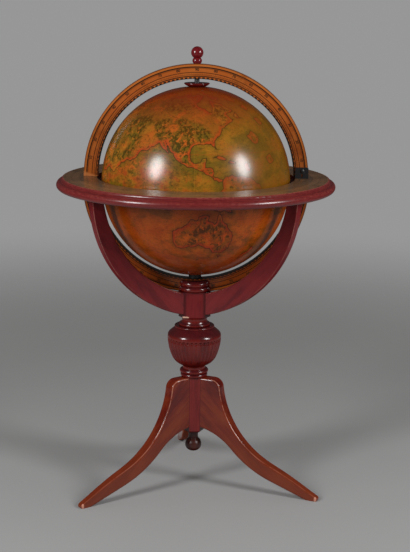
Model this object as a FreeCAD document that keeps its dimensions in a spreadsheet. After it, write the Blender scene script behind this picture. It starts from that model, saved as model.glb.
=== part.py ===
"""A floor-standing globe bar: a map sphere on a turned three-legged stand.

The upper half of the sphere hangs from a half ring that is hinged to the horizon ring, so it opens
as a lid over a rack for bottles and glasses.  Both halves of the sphere turn about their poles.
Millimetres and degrees.  The origin is on the floor under the column, +Z is up, +Y is the back,
and the two half rings of the meridian stand in the XZ plane with the hinge at +X.
"""
import FreeCAD, Part
import Sketcher
import math
import os
from collections import namedtuple
from types import SimpleNamespace

SIZES = {
    # Sphere
    "globe_radius": 200.0,
    "shell_thick": 4.0,
    "split_gap": 1.0,
    "rim_height": 15.0,
    "rim_width": 7.5,
    # Fits and clearances
    "glue_gap": 0.1,
    "fit_gap": 0.05,
    "run_gap": 0.05,
    "thrust_gap": 0.3,
    "seat_gap": 0.2,
    # Three sabre legs
    "leg_turn_angle": 96.4,
    "leg_thick": 28.0,
    "leg_height": 242.5,
    "leg_reach": 293.0,
    "leg_shoulder_length": 24.0,
    "leg_shoulder_width": 20.8,
    "leg_shoulder_drop": 18.5,
    "leg_toe_length": 4.5,
    "leg_toe_height": 15.0,
    "leg_sole_length": 25.0,
    "leg_root_height": 129.0,
    "leg_round_radius": 4.5,
    "leg_dowel_radius": 5.0,
    "leg_dowel_length": 32.0,
    "leg_dowel_depth": 12.0,
    "leg_dowel_rise": 36.0,
    "leg_dowel_drop": 22.5,
    # Points along the curves of a leg, as shares of its run and of its height
    "leg_shin_run_share": 0.6122,
    "leg_shin_rise_share": 0.26,
    "leg_calf_run_share": 0.6012,
    "leg_calf_rise_share": 0.1237,
    "leg_arch_run_share": 0.2689,
    "leg_arch_rise_share": 0.367,
    # Six-sided column between the legs
    "column_face_width": 24.5,
    "column_bottom_height": 117.0,
    "column_round_radius": 6.0,
    # Turned drop under the column
    "pendant_length": 47.5,
    "pendant_ball_radius": 18.0,
    "pendant_ball_height": 29.0,
    "pendant_cap_radius": 22.0,
    "pendant_cap_width": 10.0,
    "pendant_neck_radius": 12.0,
    "pendant_neck_depth": 1.6,
    "pendant_collar_radius": 13.5,
    "pendant_collar_height": 3.5,
    "pendant_socket_depth": 22.0,
    # Turned ring of two beads on the column
    "ring_waist_radius": 26.8,
    "ring_low_height": 8.0,
    "ring_low_width": 2.7,
    "ring_high_height": 9.7,
    "ring_high_width": 4.5,
    # Turned urn, from its foot up
    "urn_rim_radius": 58.2,
    "urn_foot_radius": 24.6,
    "urn_foot_height": 4.3,
    "urn_cove_height": 6.5,
    "urn_base_width": 16.3,
    "urn_base_height": 17.0,
    "urn_bowl_width": 9.9,
    "urn_bowl_height": 45.2,
    "urn_band_height": 2.0,
    "urn_roll_width": 4.5,
    "urn_roll_height": 8.3,
    "urn_slope_width": 11.7,
    "urn_slope_height": 10.0,
    "urn_ledge_width": 10.5,
    "urn_ledge_height": 4.0,
    "urn_collar_height": 6.5,
    "urn_neck_width": 4.3,
    "urn_neck_height": 14.0,
    "urn_lip_width": 2.3,
    # Six-sided cradle block that carries the arms
    "cradle_face_width": 47.0,
    "cradle_height": 56.5,
    # Threaded rod that clamps the turned pieces together
    "rod_radius": 5.0,
    "rod_bore_gap": 0.5,
    "rod_well_radius": 11.5,
    "rod_well_depth": 16.5,
    "rod_top_gap": 3.5,
    # Slotted knob that holds the lower half ring
    "knob_spigot_radius": 22.0,
    "knob_spigot_depth": 8.0,
    "knob_waist_radius": 28.0,
    "knob_low_width": 4.0,
    "knob_low_height": 11.5,
    "knob_high_width": 1.8,
    "knob_high_height": 12.0,
    "knob_cap_width": 3.0,
    "knob_dowel_radius": 2.5,
    "knob_dowel_length": 16.0,
    "knob_dowel_offset": 16.5,
    # Three curved arms
    "arm_turn_angle": 90.0,
    "arm_thick": 22.0,
    "arm_root_rise": 7.0,
    "arm_step_width": 3.0,
    "arm_inner_gap": 26.0,
    "arm_inner_angle": 42.7,
    "arm_mid_width": 38.0,
    "arm_outer_angle": 42.0,
    "arm_top_gap": 23.0,
    "arm_top_width": 24.5,
    "arm_round_radius": 2.5,
    "arm_dowel_radius": 4.0,
    "arm_dowel_length": 30.0,
    "arm_dowel_depth": 12.0,
    "arm_dowel_low_rise": 17.0,
    "arm_dowel_high_rise": 34.0,
    # Horizon ring with its moulded edge
    "horizon_rise": 9.2,
    "horizon_thick": 24.0,
    "horizon_gap": 10.3,
    "horizon_width": 85.6,
    "horizon_bead_width": 8.9,
    "horizon_bead_drop": 7.0,
    "horizon_step_width": 2.5,
    "horizon_step_drop": 5.5,
    "horizon_round_radius": 3.9,
    # Half rings of the meridian
    "meridian_thick": 16.0,
    "meridian_width": 31.0,
    "lower_meridian_gap": 10.0,
    "lower_meridian_depth": 3.2,
    "upper_meridian_gap": 7.0,
    "meridian_dowel_radius": 3.0,
    "meridian_dowel_length": 26.0,
    "meridian_dowel_depth": 12.0,
    # Hinge at the right foot of the upper half ring
    "hinge_pin_radius": 3.0,
    "hinge_pin_height": 16.0,
    "hinge_head_radius": 4.8,
    "hinge_head_height": 1.6,
    "hinge_plate_thick": 2.5,
    "hinge_lift_gap": 0.5,
    "hinge_cheek_thick": 2.2,
    "hinge_side_gap": 0.3,
    "hinge_height": 23.5,
    "hinge_length": 28.0,
    "hinge_corner_radius": 3.0,
    "hinge_notch_width": 3.0,
    "hinge_notch_gap": 3.0,
    "hinge_screw_radius": 1.75,
    "hinge_screw_head_radius": 3.4,
    "hinge_screw_length": 14.0,
    "hinge_screw_inset": 6.0,
    # Pole fittings
    "spindle_radius": 5.25,
    "pole_gap": 1.5,
    "pole_disc_radius": 27.0,
    "pole_disc_height": 7.5,
    "pole_disc_foot_radius": 20.0,
    "pole_disc_lip": 2.8,
    "pole_collar_radius": 13.5,
    "pad_radius": 25.0,
    "pad_height": 14.0,
    "washer_radius": 12.0,
    "washer_thick": 2.0,
    "nut_width": 17.0,
    "nut_height": 8.0,
    "thread_length": 3.0,
    "lower_pin_depth": 17.0,
    # Turned finial over the upper pole
    "finial_seat_radius": 7.0,
    "finial_bead_radius": 10.0,
    "finial_bead_height": 12.2,
    "finial_neck_radius": 7.2,
    "finial_ball_radius": 12.9,
    "finial_socket_depth": 19.0,
    # Rack for bottles and glasses
    "deck_drop": 52.0,
    "deck_thick": 8.0,
    "shelf_rise": 54.0,
    "shelf_thick": 8.0,
    "rack_gap": 0.5,
    "rack_round_radius": 2.0,
    "glass_inset": 9.0,
    "glass_spread_angle": 20.0,
    "post_radius": 7.0,
    "post_inset": 10.5,
    "rack_knob_radius": 13.0,
    "rack_knob_height": 34.0,
    "rack_stem_radius": 6.0,
    "rack_foot_radius": 16.0,
    "rack_foot_height": 3.0,
    "rack_tenon_radius": 5.0,
    # Holes in the rack's deck, as shares of its radius
    "bottle_share": 0.215,
    "bottle_circle_share": 0.4465,
    "glass_share": 0.161,
}

# Coordinates closer than this count as equal.
NEAR = 1e-3
THIRDS = 3
FULL_TURN = 360.0
# The six-sided blocks have equal angles, so the distance from the axis to a side follows from
# the widths of the two kinds of side.
SIX_SIDED = 2.0 * math.sqrt(3.0)
HALF_ROOT = math.sqrt(0.5)
# An outline's steps: a point alone is a straight side, a bend is an arc through a point, and a flow
# is an arc that leaves the side before it smoothly.
Bend = namedtuple("Bend", "via end")
Flow = namedtuple("Flow", "end")

doc = FreeCAD.newDocument("globe_bar")
sheet = doc.addObject("Spreadsheet::Sheet", "Sizes")


class Size:
    """A number with the sheet expression that gives it, so a feature can be bound to it."""

    def __init__(self, value, text=None):
        self.value = float(value)
        self.text = text or "(%r)" % float(value)

    def _with(self, other, sign, work):
        other = other if isinstance(other, Size) else Size(other)
        return Size(work(self.value, other.value), "(%s %s %s)" % (self.text, sign, other.text))

    def __add__(self, other):
        return self._with(other, "+", lambda a, b: a + b)

    def __sub__(self, other):
        return self._with(other, "-", lambda a, b: a - b)

    def __mul__(self, other):
        return self._with(other, "*", lambda a, b: a * b)

    def __truediv__(self, other):
        return self._with(other, "/", lambda a, b: a / b)

    def __neg__(self):
        return Size(0) - self

    def __rmul__(self, other):
        return self * other


def chord(radius, offset):
    """Half the chord of a circle at an offset from its centre."""
    square = radius * radius - offset * offset
    return Size(math.sqrt(square.value), "sqrt(%s)" % square.text)


def cosine(angle):
    return Size(math.cos(math.radians(angle.value)), "cos(%s * 1 deg)" % angle.text)


def sine(angle):
    return Size(math.sin(math.radians(angle.value)), "sin(%s * 1 deg)" % angle.text)


def fill_sheet():
    """Write the sizes to the sheet and give each one back by name."""
    for row, (name, value) in enumerate(SIZES.items(), start=1):
        sheet.set("A%d" % row, name)
        sheet.set("B%d" % row, str(value))
        sheet.setAlias("B%d" % row, name)
    doc.recompute()
    return SimpleNamespace(**{name: Size(value, "Sizes." + name) for name, value in SIZES.items()})


size = fill_sheet()
pieces = []

# Heights and distances that several pieces share, worked out from the sizes above.
AXIS = Size(0)
column_top = size.leg_height
ring_middle = column_top + size.ring_low_height
urn_bottom = ring_middle + size.ring_high_height
urn_base = urn_bottom + size.urn_foot_height + size.urn_cove_height
urn_bowl = urn_base + size.urn_base_height
urn_rim = urn_bowl + size.urn_bowl_height
urn_roll = urn_rim + size.urn_band_height
urn_slope = urn_roll + size.urn_roll_height
urn_ledge = urn_slope + size.urn_slope_height
urn_collar = urn_ledge + size.urn_ledge_height
urn_neck = urn_collar + size.urn_collar_height
cradle_bottom = urn_neck + size.urn_neck_height
cradle_top = cradle_bottom + size.cradle_height
lower_meridian_inner = size.globe_radius + size.lower_meridian_gap
lower_meridian_outer = lower_meridian_inner + size.meridian_width
upper_meridian_inner = size.globe_radius + size.upper_meridian_gap
upper_meridian_outer = upper_meridian_inner + size.meridian_width
globe_centre = cradle_top - size.lower_meridian_depth + lower_meridian_outer
horizon_top = globe_centre + size.horizon_rise
horizon_under = horizon_top - size.horizon_thick
shell_inner = size.globe_radius - size.shell_thick
pole_hole = size.spindle_radius + size.pole_gap
rod_bore = size.rod_radius + size.rod_bore_gap
leg_root = (size.leg_thick + 2 * size.column_face_width) / SIX_SIDED
leg_dowel_heights = (size.leg_root_height + size.leg_dowel_rise, column_top - size.leg_dowel_drop)
arm_root = (size.arm_thick + 2 * size.cradle_face_width) / SIX_SIDED
arm_dowel_heights = (cradle_bottom + size.arm_dowel_low_rise, cradle_bottom + size.arm_dowel_high_rise)
arm_top_inner = size.globe_radius + size.arm_top_gap
arm_peg_circle = arm_top_inner + size.arm_top_width / 2
meridian_peg = lower_meridian_inner + size.meridian_width / 2
spigot_bottom = cradle_top - size.knob_spigot_depth
well_floor = spigot_bottom - size.rod_well_depth
foot_rise = size.hinge_plate_thick + size.hinge_lift_gap
hinge_reach = chord(upper_meridian_outer, size.hinge_pin_height)
hinge_swing = size.hinge_pin_height - foot_rise
hinge_x = hinge_reach - hinge_swing
hinge_z = horizon_top + size.hinge_pin_height
hinge_end = upper_meridian_outer
hinge_start = hinge_end - size.hinge_length
cheek_inside = size.meridian_thick / 2 + size.hinge_side_gap
cheek_outside = cheek_inside + size.hinge_cheek_thick
hinge_screws_x = (hinge_start + size.hinge_screw_inset, hinge_end - size.hinge_screw_inset)
upper_crown = horizon_top + upper_meridian_outer
upper_pad_face = globe_centre + shell_inner - size.pad_height
lower_pad_face = globe_centre - shell_inner + size.pad_height
deck_top = globe_centre - size.deck_drop
deck_bottom = deck_top - size.deck_thick
shelf_top = globe_centre - shell_inner + size.shelf_rise


def bind(thing, path, length):
    thing.setExpression(path, length.text)


def new_body(label, several_solids=False):
    """Start a piece, which is written out under its label."""
    body = doc.addObject("PartDesign::Body", label)
    body.Label = label
    body.AllowCompound = several_solids
    pieces.append(body)
    return body


def origin_feature(body, role):
    return next(feature for feature in body.Origin.OriginFeatures if feature.Role == role)


def sketch_on(body, role, lift=None):
    """Start a sketch on one of the body's own planes, lifted along the plane's normal."""
    sketch = body.newObject("Sketcher::SketchObject", body.Label + "_sketch")
    sketch.AttachmentSupport = [(origin_feature(body, role), "")]
    sketch.MapMode = "FlatFace"
    if lift is not None:
        bind(sketch, "AttachmentOffset.Base.z", lift)
    return sketch


def hold(sketch, element, point, across, up):
    """Fix a point of a sketch element at two sizes from the sketch's origin."""
    for kind, distance in (("DistanceX", across), ("DistanceY", up)):
        index = sketch.addConstraint(Sketcher.Constraint(kind, element, point, distance.value))
        bind(sketch, "Constraints[%d]" % index, distance)


def spot(point):
    return FreeCAD.Vector(point[0].value, point[1].value, 0)


def flow_middle(first, last, heading):
    """Middle of the arc that leaves one point at a heading and ends at another."""
    span = last - first
    bearing = math.atan2(span.y, span.x)
    half_turn = math.remainder(bearing - heading, 2 * math.pi) / 2
    reach = span.Length / (2 * math.cos(half_turn))
    way = heading + half_turn
    return first + FreeCAD.Vector(math.cos(way), math.sin(way), 0) * reach


def outline(sketch, start, *steps):
    """Draw a closed outline of straight sides, bends and flows, and fix each corner to its sizes."""
    corners = [start] + [getattr(step, "end", step) for step in steps]
    elements = []
    heading = 0.0
    for index, corner in enumerate(corners):
        step = steps[index] if index < len(steps) else start
        first, last = spot(corner), spot(corners[(index + 1) % len(corners)])
        span = last - first
        bearing = math.atan2(span.y, span.x)
        if not isinstance(step, (Bend, Flow)):
            heading = bearing
            line = sketch.addGeometry(Part.LineSegment(first, last))
            elements.append((line, 1, 2, False))
            continue
        smooth = isinstance(step, Flow)
        middle = flow_middle(first, last, heading) if smooth else spot(step.via)
        before, after = middle - first, last - middle
        heading = bearing + math.remainder(math.atan2(after.y, after.x) - math.atan2(before.y, before.x),
                                           2 * math.pi)
        anticlockwise = before.cross(after).z > 0
        ends = (first, last) if anticlockwise else (last, first)
        arc = sketch.addGeometry(Part.Arc(ends[0], middle, ends[1]))
        elements.append((arc, 1, 2, smooth) if anticlockwise else (arc, 2, 1, smooth))
        if not smooth:
            mark = sketch.addGeometry(Part.Point(middle), True)
            hold(sketch, mark, 1, *step.via)
            sketch.addConstraint(Sketcher.Constraint("PointOnObject", mark, 1, arc))
    for index, (element, begin, end, _) in enumerate(elements):
        follower, follower_begin, _, smooth = elements[(index + 1) % len(elements)]
        join = "Tangent" if smooth else "Coincident"
        sketch.addConstraint(Sketcher.Constraint(join, element, end, follower, follower_begin))
        hold(sketch, element, begin, *corners[index])
    return sketch


def circle(sketch, across, up, radius):
    element = sketch.addGeometry(Part.Circle(spot((across, up)), FreeCAD.Vector(0, 0, 1), radius.value))
    hold(sketch, element, 3, across, up)
    index = sketch.addConstraint(Sketcher.Constraint("Radius", element, radius.value))
    bind(sketch, "Constraints[%d]" % index, radius)
    return sketch


def box_outline(sketch, left, right, low, high):
    return outline(sketch, (left, low), (right, low), (right, high), (left, high))


def revolve(body, *profile):
    """Turn a profile of distances from the axis and heights about the Z axis."""
    turning = body.newObject("PartDesign::Revolution", body.Label + "_turning")
    turning.Profile = outline(sketch_on(body, "XZ_Plane"), *profile)
    turning.ReferenceAxis = (turning.Profile[0], ["V_Axis"])
    turning.Angle = FULL_TURN
    return turning


def pad(body, sketch, length, symmetric=False):
    """Grow a sketch along its normal, or evenly to both sides."""
    feature = body.newObject("PartDesign::Pad", body.Label + "_pad")
    feature.Profile = sketch
    feature.SideType = "Symmetric" if symmetric else "One side"
    bind(feature, "Length", length)
    return feature


def pocket(body, sketch, length, symmetric=False, along_normal=False):
    """Cut a sketch into the body and make sure that the cut took something away."""
    doc.recompute()
    before = body.Shape.Volume
    feature = body.newObject("PartDesign::Pocket", body.Label + "_pocket")
    feature.Profile = sketch
    feature.SideType = "Symmetric" if symmetric else "One side"
    feature.Reversed = along_normal
    bind(feature, "Length", length)
    doc.recompute()
    if body.Shape.Volume > before - NEAR:
        raise RuntimeError("a cut in %s removes nothing" % body.Label)
    return feature


def in_thirds(body, *features):
    """Repeat features three times about the Z axis."""
    pattern = body.newObject("PartDesign::PolarPattern", body.Label + "_thirds")
    pattern.Originals = list(features)
    pattern.Axis = (origin_feature(body, "Z_Axis"), [""])
    pattern.Angle = FULL_TURN
    pattern.Occurrences = THIRDS
    body.Tip = pattern
    return pattern


def ease(body, radius, wanted):
    """Round the edges that the test picks."""
    doc.recompute()
    base = body.Tip
    names = ["Edge%d" % index for index, edge in enumerate(base.Shape.Edges, start=1) if wanted(edge)]
    rounding = body.newObject("PartDesign::Fillet", body.Label + "_ease")
    rounding.Base = (base, names)
    bind(rounding, "Radius", radius)
    doc.recompute()
    return rounding


def turn_to(body, angle):
    bind(body, "Placement.Rotation.Angle", angle)


def six_sides(facing, free):
    """Corners of a six-sided block whose facing sides look at 0, 120 and 240 degrees."""
    distance = (facing + 2 * free) / SIX_SIDED
    corners = []
    for third in range(THIRDS):
        angle = math.radians(third * FULL_TURN / THIRDS)
        for side in (-0.5, 0.5):
            across = distance * math.cos(angle) - facing * (side * math.sin(angle))
            up = distance * math.sin(angle) + facing * (side * math.cos(angle))
            corners.append((across, up))
    return corners


def on_side_face(edge, thickness):
    """Whether an edge runs along one of the two flat sides of a leg or arm."""
    box = edge.BoundBox
    return box.YLength < NEAR and abs(abs(box.YMin) - thickness.value / 2) < NEAR


def make_leg(label, third):
    """A sabre leg, sawn to its outline, with eased arrises and dowel holes in its root."""
    body = new_body(label)
    run = size.leg_reach - leg_root

    def along(run_share, rise_share):
        return leg_root + run * run_share, column_top * rise_share

    flat_end = leg_root + size.leg_shoulder_length
    sketch = outline(
        sketch_on(body, "XZ_Plane"),
        (leg_root, column_top),
        (flat_end, column_top),
        Flow((flat_end + size.leg_shoulder_width, column_top - size.leg_shoulder_drop)),
        Flow(along(size.leg_shin_run_share, size.leg_shin_rise_share)),
        Flow((size.leg_reach - size.leg_toe_length, size.leg_toe_height)),
        Flow((size.leg_reach, AXIS)),
        (size.leg_reach - size.leg_sole_length, AXIS),
        along(size.leg_calf_run_share, size.leg_calf_rise_share),
        Flow(along(size.leg_arch_run_share, size.leg_arch_rise_share)),
        Flow((leg_root, size.leg_root_height)))
    pad(body, sketch, size.leg_thick, symmetric=True)
    ease(body, size.leg_round_radius, lambda edge: on_side_face(edge, size.leg_thick)
         and edge.BoundBox.XMax > leg_root.value + NEAR and edge.BoundBox.ZMax > NEAR)
    holes = sketch_on(body, "YZ_Plane", leg_root)
    for height in leg_dowel_heights:
        circle(holes, AXIS, height, size.leg_dowel_radius + size.fit_gap)
    pocket(body, holes, size.leg_dowel_length - size.leg_dowel_depth + size.fit_gap, along_normal=True)
    turn_to(body, size.leg_turn_angle + third * FULL_TURN / THIRDS)


def make_leg_dowels():
    """Two dowels in the root of each leg."""
    body = new_body("leg_dowels", several_solids=True)
    sketch = sketch_on(body, "YZ_Plane", leg_root - size.leg_dowel_depth)
    for height in leg_dowel_heights:
        circle(sketch, AXIS, height, size.leg_dowel_radius)
    in_thirds(body, pad(body, sketch, size.leg_dowel_length))
    turn_to(body, size.leg_turn_angle)


def make_column():
    """The six-sided column that the legs are dowelled to."""
    body = new_body("column_block")
    sketch = outline(sketch_on(body, "XY_Plane", size.column_bottom_height),
                     *six_sides(size.leg_thick, size.column_face_width))
    pad(body, sketch, column_top - size.column_bottom_height)
    ease(body, size.column_round_radius,
         lambda edge: edge.BoundBox.ZMax < size.column_bottom_height.value + NEAR)
    bore = circle(sketch_on(body, "XY_Plane", column_top), AXIS, AXIS, rod_bore)
    pocket(body, bore, column_top - size.column_bottom_height + size.column_round_radius)
    holes = sketch_on(body, "YZ_Plane", leg_root)
    for height in leg_dowel_heights:
        circle(holes, AXIS, height, size.leg_dowel_radius + size.fit_gap)
    in_thirds(body, pocket(body, holes, size.leg_dowel_depth + size.fit_gap))
    turn_to(body, size.leg_turn_angle)


def make_pendant():
    """The turned drop, whose threaded socket takes the lower end of the rod."""
    body = new_body("pendant")
    top = size.column_bottom_height
    bottom = top - size.pendant_length
    cap = size.pendant_cap_radius
    cap_out = size.pendant_cap_width
    neck = size.pendant_neck_radius
    neck_low = bottom + size.pendant_ball_height
    collar_under = top - size.pendant_collar_height
    socket = size.rod_radius + size.fit_gap
    revolve(
        body,
        (AXIS, bottom),
        Bend((cap_out / 2, bottom + cap - chord(cap, cap_out / 2)),
             (cap_out, bottom + cap - chord(cap, cap_out))),
        Flow((size.pendant_ball_radius, (bottom + neck_low) / 2)),
        Flow((neck, neck_low)),
        Bend((neck - size.pendant_neck_depth, (neck_low + collar_under) / 2), (neck, collar_under)),
        (size.pendant_collar_radius, collar_under),
        (size.pendant_collar_radius, top),
        (socket, top),
        (socket, top - size.pendant_socket_depth),
        (AXIS, top - size.pendant_socket_depth))


def make_column_ring():
    """The turned ring of two beads between the column and the urn."""
    body = new_body("column_ring")
    waist = size.ring_waist_radius
    revolve(
        body,
        (rod_bore, column_top),
        (waist, column_top),
        Bend((waist + size.ring_low_width, (column_top + ring_middle) / 2), (waist, ring_middle)),
        Bend((waist + size.ring_high_width, (ring_middle + urn_bottom) / 2), (waist, urn_bottom)),
        (rod_bore, urn_bottom))


def make_urn():
    """The turned urn: neck, collar, ledge, sloping shoulder, rim, bowl and foot."""
    body = new_body("urn")
    rim_radius = size.urn_rim_radius
    slope_radius = rim_radius - size.urn_roll_width
    ledge_radius = slope_radius - size.urn_slope_width
    collar_radius = ledge_radius - size.urn_ledge_width
    neck_radius = collar_radius - size.urn_neck_width
    bowl_radius = rim_radius - size.urn_bowl_width
    base_radius = bowl_radius - size.urn_base_width
    foot_top = urn_bottom + size.urn_foot_height
    revolve(
        body,
        (rod_bore, cradle_bottom),
        (neck_radius + size.urn_lip_width, cradle_bottom),
        Bend((neck_radius, (urn_neck + cradle_bottom) / 2),
             (collar_radius - size.urn_collar_height / 3, urn_neck)),
        Bend((collar_radius + size.urn_collar_height / 3, (urn_collar + urn_neck) / 2),
             (collar_radius, urn_collar)),
        (ledge_radius - size.urn_ledge_height / 2, urn_collar),
        Bend((ledge_radius + size.urn_ledge_height / 3, (urn_ledge + urn_collar) / 2),
             (ledge_radius, urn_ledge)),
        (slope_radius, urn_slope),
        Flow((rim_radius, urn_roll)),
        (rim_radius, urn_rim),
        Flow((bowl_radius, urn_bowl)),
        Flow((base_radius, urn_base)),
        Bend(((size.urn_foot_radius * 2 + base_radius) / 3, (foot_top + urn_base * 2) / 3),
             (size.urn_foot_radius, foot_top)),
        (size.urn_foot_radius, urn_bottom),
        (rod_bore, urn_bottom))


def make_tie_rod():
    """The threaded rod down the middle of the stand, with its nut and washer in the block's well."""
    foot = size.column_bottom_height - size.pendant_socket_depth + size.fit_gap
    rod = new_body("tie_rod")
    top = spigot_bottom - size.rod_top_gap
    pad(rod, circle(sketch_on(rod, "XY_Plane", foot), AXIS, AXIS, size.rod_radius), top - foot)
    make_washer("tie_rod_washer", well_floor, size.rod_radius, size.rod_well_radius - size.rod_bore_gap)
    make_nut("tie_rod_nut", well_floor + size.washer_thick, size.rod_radius)


def make_washer(label, bottom, bore, radius):
    body = new_body(label)
    sketch = circle(sketch_on(body, "XY_Plane", bottom), AXIS, AXIS, radius)
    circle(sketch, AXIS, AXIS, bore + size.fit_gap)
    pad(body, sketch, size.washer_thick)


def make_nut(label, bottom, bore):
    """A hexagon nut, as wide across its flats as the sheet says."""
    body = new_body(label)
    side = size.nut_width / math.sqrt(3.0)
    sketch = outline(sketch_on(body, "XY_Plane", bottom), *six_sides(side, side))
    circle(sketch, AXIS, AXIS, bore + size.fit_gap)
    pad(body, sketch, size.nut_height)


def meridian_groove(body, plane):
    """Cut the seat of the lower half ring, which follows the ring's own outer edge."""
    outer = lower_meridian_outer + size.fit_gap
    half = arm_root + size.arm_thick
    edge = globe_centre - chord(outer, half)
    above = cradle_top + size.cradle_height
    sketch = outline(
        sketch_on(body, plane),
        (-half, edge),
        Bend((AXIS, globe_centre - outer), (half, edge)),
        (half, above),
        (-half, above))
    pocket(body, sketch, size.meridian_thick + 2 * size.seat_gap, symmetric=True)


def make_cradle_block():
    """The six-sided block on the urn that the three arms are dowelled to."""
    body = new_body("cradle_block")
    sketch = outline(sketch_on(body, "XY_Plane", cradle_bottom),
                     *six_sides(size.arm_thick, size.cradle_face_width))
    pad(body, sketch, size.cradle_height)
    holes = sketch_on(body, "YZ_Plane", arm_root)
    for height in arm_dowel_heights:
        circle(holes, AXIS, height, size.arm_dowel_radius + size.fit_gap)
    in_thirds(body, pocket(body, holes, size.arm_dowel_depth + size.fit_gap))
    pocket(body, circle(sketch_on(body, "XY_Plane", cradle_top), AXIS, AXIS, rod_bore),
           size.cradle_height + size.seat_gap)
    spigot = circle(sketch_on(body, "XY_Plane", cradle_top), AXIS, AXIS,
                    size.knob_spigot_radius + size.fit_gap)
    pocket(body, spigot, size.knob_spigot_depth)
    well = circle(sketch_on(body, "XY_Plane", cradle_top), AXIS, AXIS, size.rod_well_radius)
    pocket(body, well, size.knob_spigot_depth + size.rod_well_depth)
    # The half ring crosses the block at right angles to the back arm.
    meridian_groove(body, "YZ_Plane")
    knob_pegs = sketch_on(body, "XY_Plane", spigot_bottom)
    for side in (-1.0, 1.0):
        circle(knob_pegs, size.knob_dowel_offset * side, AXIS, size.knob_dowel_radius + size.fit_gap)
    pocket(body, knob_pegs, size.knob_dowel_length / 2 + size.fit_gap)
    turn_to(body, size.arm_turn_angle)


def make_cradle_knob():
    """The turned knob of two beads on the block, slotted for the lower half ring."""
    body = new_body("cradle_knob")
    waist = size.knob_waist_radius
    middle = cradle_top + size.knob_low_height
    top = middle + size.knob_high_height
    revolve(
        body,
        (AXIS, spigot_bottom),
        (size.knob_spigot_radius, spigot_bottom),
        (size.knob_spigot_radius, cradle_top),
        (waist, cradle_top),
        Bend((waist + size.knob_low_width, (cradle_top + middle) / 2), (waist, middle)),
        Bend((waist + size.knob_high_width, (middle + top) / 2), (waist - size.knob_cap_width, top)),
        (AXIS, top))
    meridian_groove(body, "XZ_Plane")
    holes = sketch_on(body, "XY_Plane", spigot_bottom)
    for side in (-1.0, 1.0):
        circle(holes, AXIS, size.knob_dowel_offset * side, size.knob_dowel_radius + size.fit_gap)
    pocket(body, holes, size.knob_dowel_length / 2 + size.fit_gap, along_normal=True)


def make_knob_dowels():
    """Two pegs that keep the knob's slot in line with the half ring."""
    body = new_body("knob_dowels", several_solids=True)
    bottom = spigot_bottom - size.knob_dowel_length / 2
    sketch = sketch_on(body, "XY_Plane", bottom)
    for side in (-1.0, 1.0):
        circle(sketch, AXIS, size.knob_dowel_offset * side, size.knob_dowel_radius)
    pad(body, sketch, size.knob_dowel_length)


def make_arm(label, third):
    """A curved arm from the block to the underside of the horizon ring."""
    body = new_body(label)
    inner = size.globe_radius + size.arm_inner_gap
    outer = inner + size.arm_mid_width
    inner_mid = (inner * cosine(size.arm_inner_angle), globe_centre - inner * sine(size.arm_inner_angle))
    outer_mid = (outer * cosine(size.arm_outer_angle), globe_centre - outer * sine(size.arm_outer_angle))
    root_top = globe_centre - chord(lower_meridian_outer, arm_root) - size.seat_gap
    sketch = outline(
        sketch_on(body, "XZ_Plane"),
        (arm_root, cradle_bottom + size.arm_root_rise),
        Bend(outer_mid, (arm_top_inner + size.arm_top_width, horizon_under)),
        (arm_top_inner, horizon_under),
        Bend(inner_mid, (arm_root + size.arm_step_width, root_top)),
        (arm_root, root_top))
    pad(body, sketch, size.arm_thick, symmetric=True)
    tall = (horizon_under - cradle_top).value / 2
    ease(body, size.arm_round_radius, lambda edge: on_side_face(edge, size.arm_thick)
         and edge.BoundBox.ZLength > tall)
    root_holes = sketch_on(body, "YZ_Plane", arm_root)
    for height in arm_dowel_heights:
        circle(root_holes, AXIS, height, size.arm_dowel_radius + size.fit_gap)
    hole_depth = size.arm_dowel_length - size.arm_dowel_depth + size.fit_gap
    pocket(body, root_holes, hole_depth, along_normal=True)
    top_hole = circle(sketch_on(body, "XY_Plane", horizon_under), arm_peg_circle, AXIS,
                      size.arm_dowel_radius + size.fit_gap)
    pocket(body, top_hole, hole_depth)
    turn_to(body, size.arm_turn_angle + third * FULL_TURN / THIRDS)


def make_arm_dowels():
    """Two dowels in each arm's root and one in its top."""
    body = new_body("arm_dowels", several_solids=True)
    roots = sketch_on(body, "YZ_Plane", arm_root - size.arm_dowel_depth)
    for height in arm_dowel_heights:
        circle(roots, AXIS, height, size.arm_dowel_radius)
    root_pegs = pad(body, roots, size.arm_dowel_length)
    top_bottom = horizon_under + size.arm_dowel_depth - size.arm_dowel_length
    top = circle(sketch_on(body, "XY_Plane", top_bottom), arm_peg_circle, AXIS, size.arm_dowel_radius)
    top_peg = pad(body, top, size.arm_dowel_length)
    in_thirds(body, root_pegs, top_peg)
    turn_to(body, size.arm_turn_angle)


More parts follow.
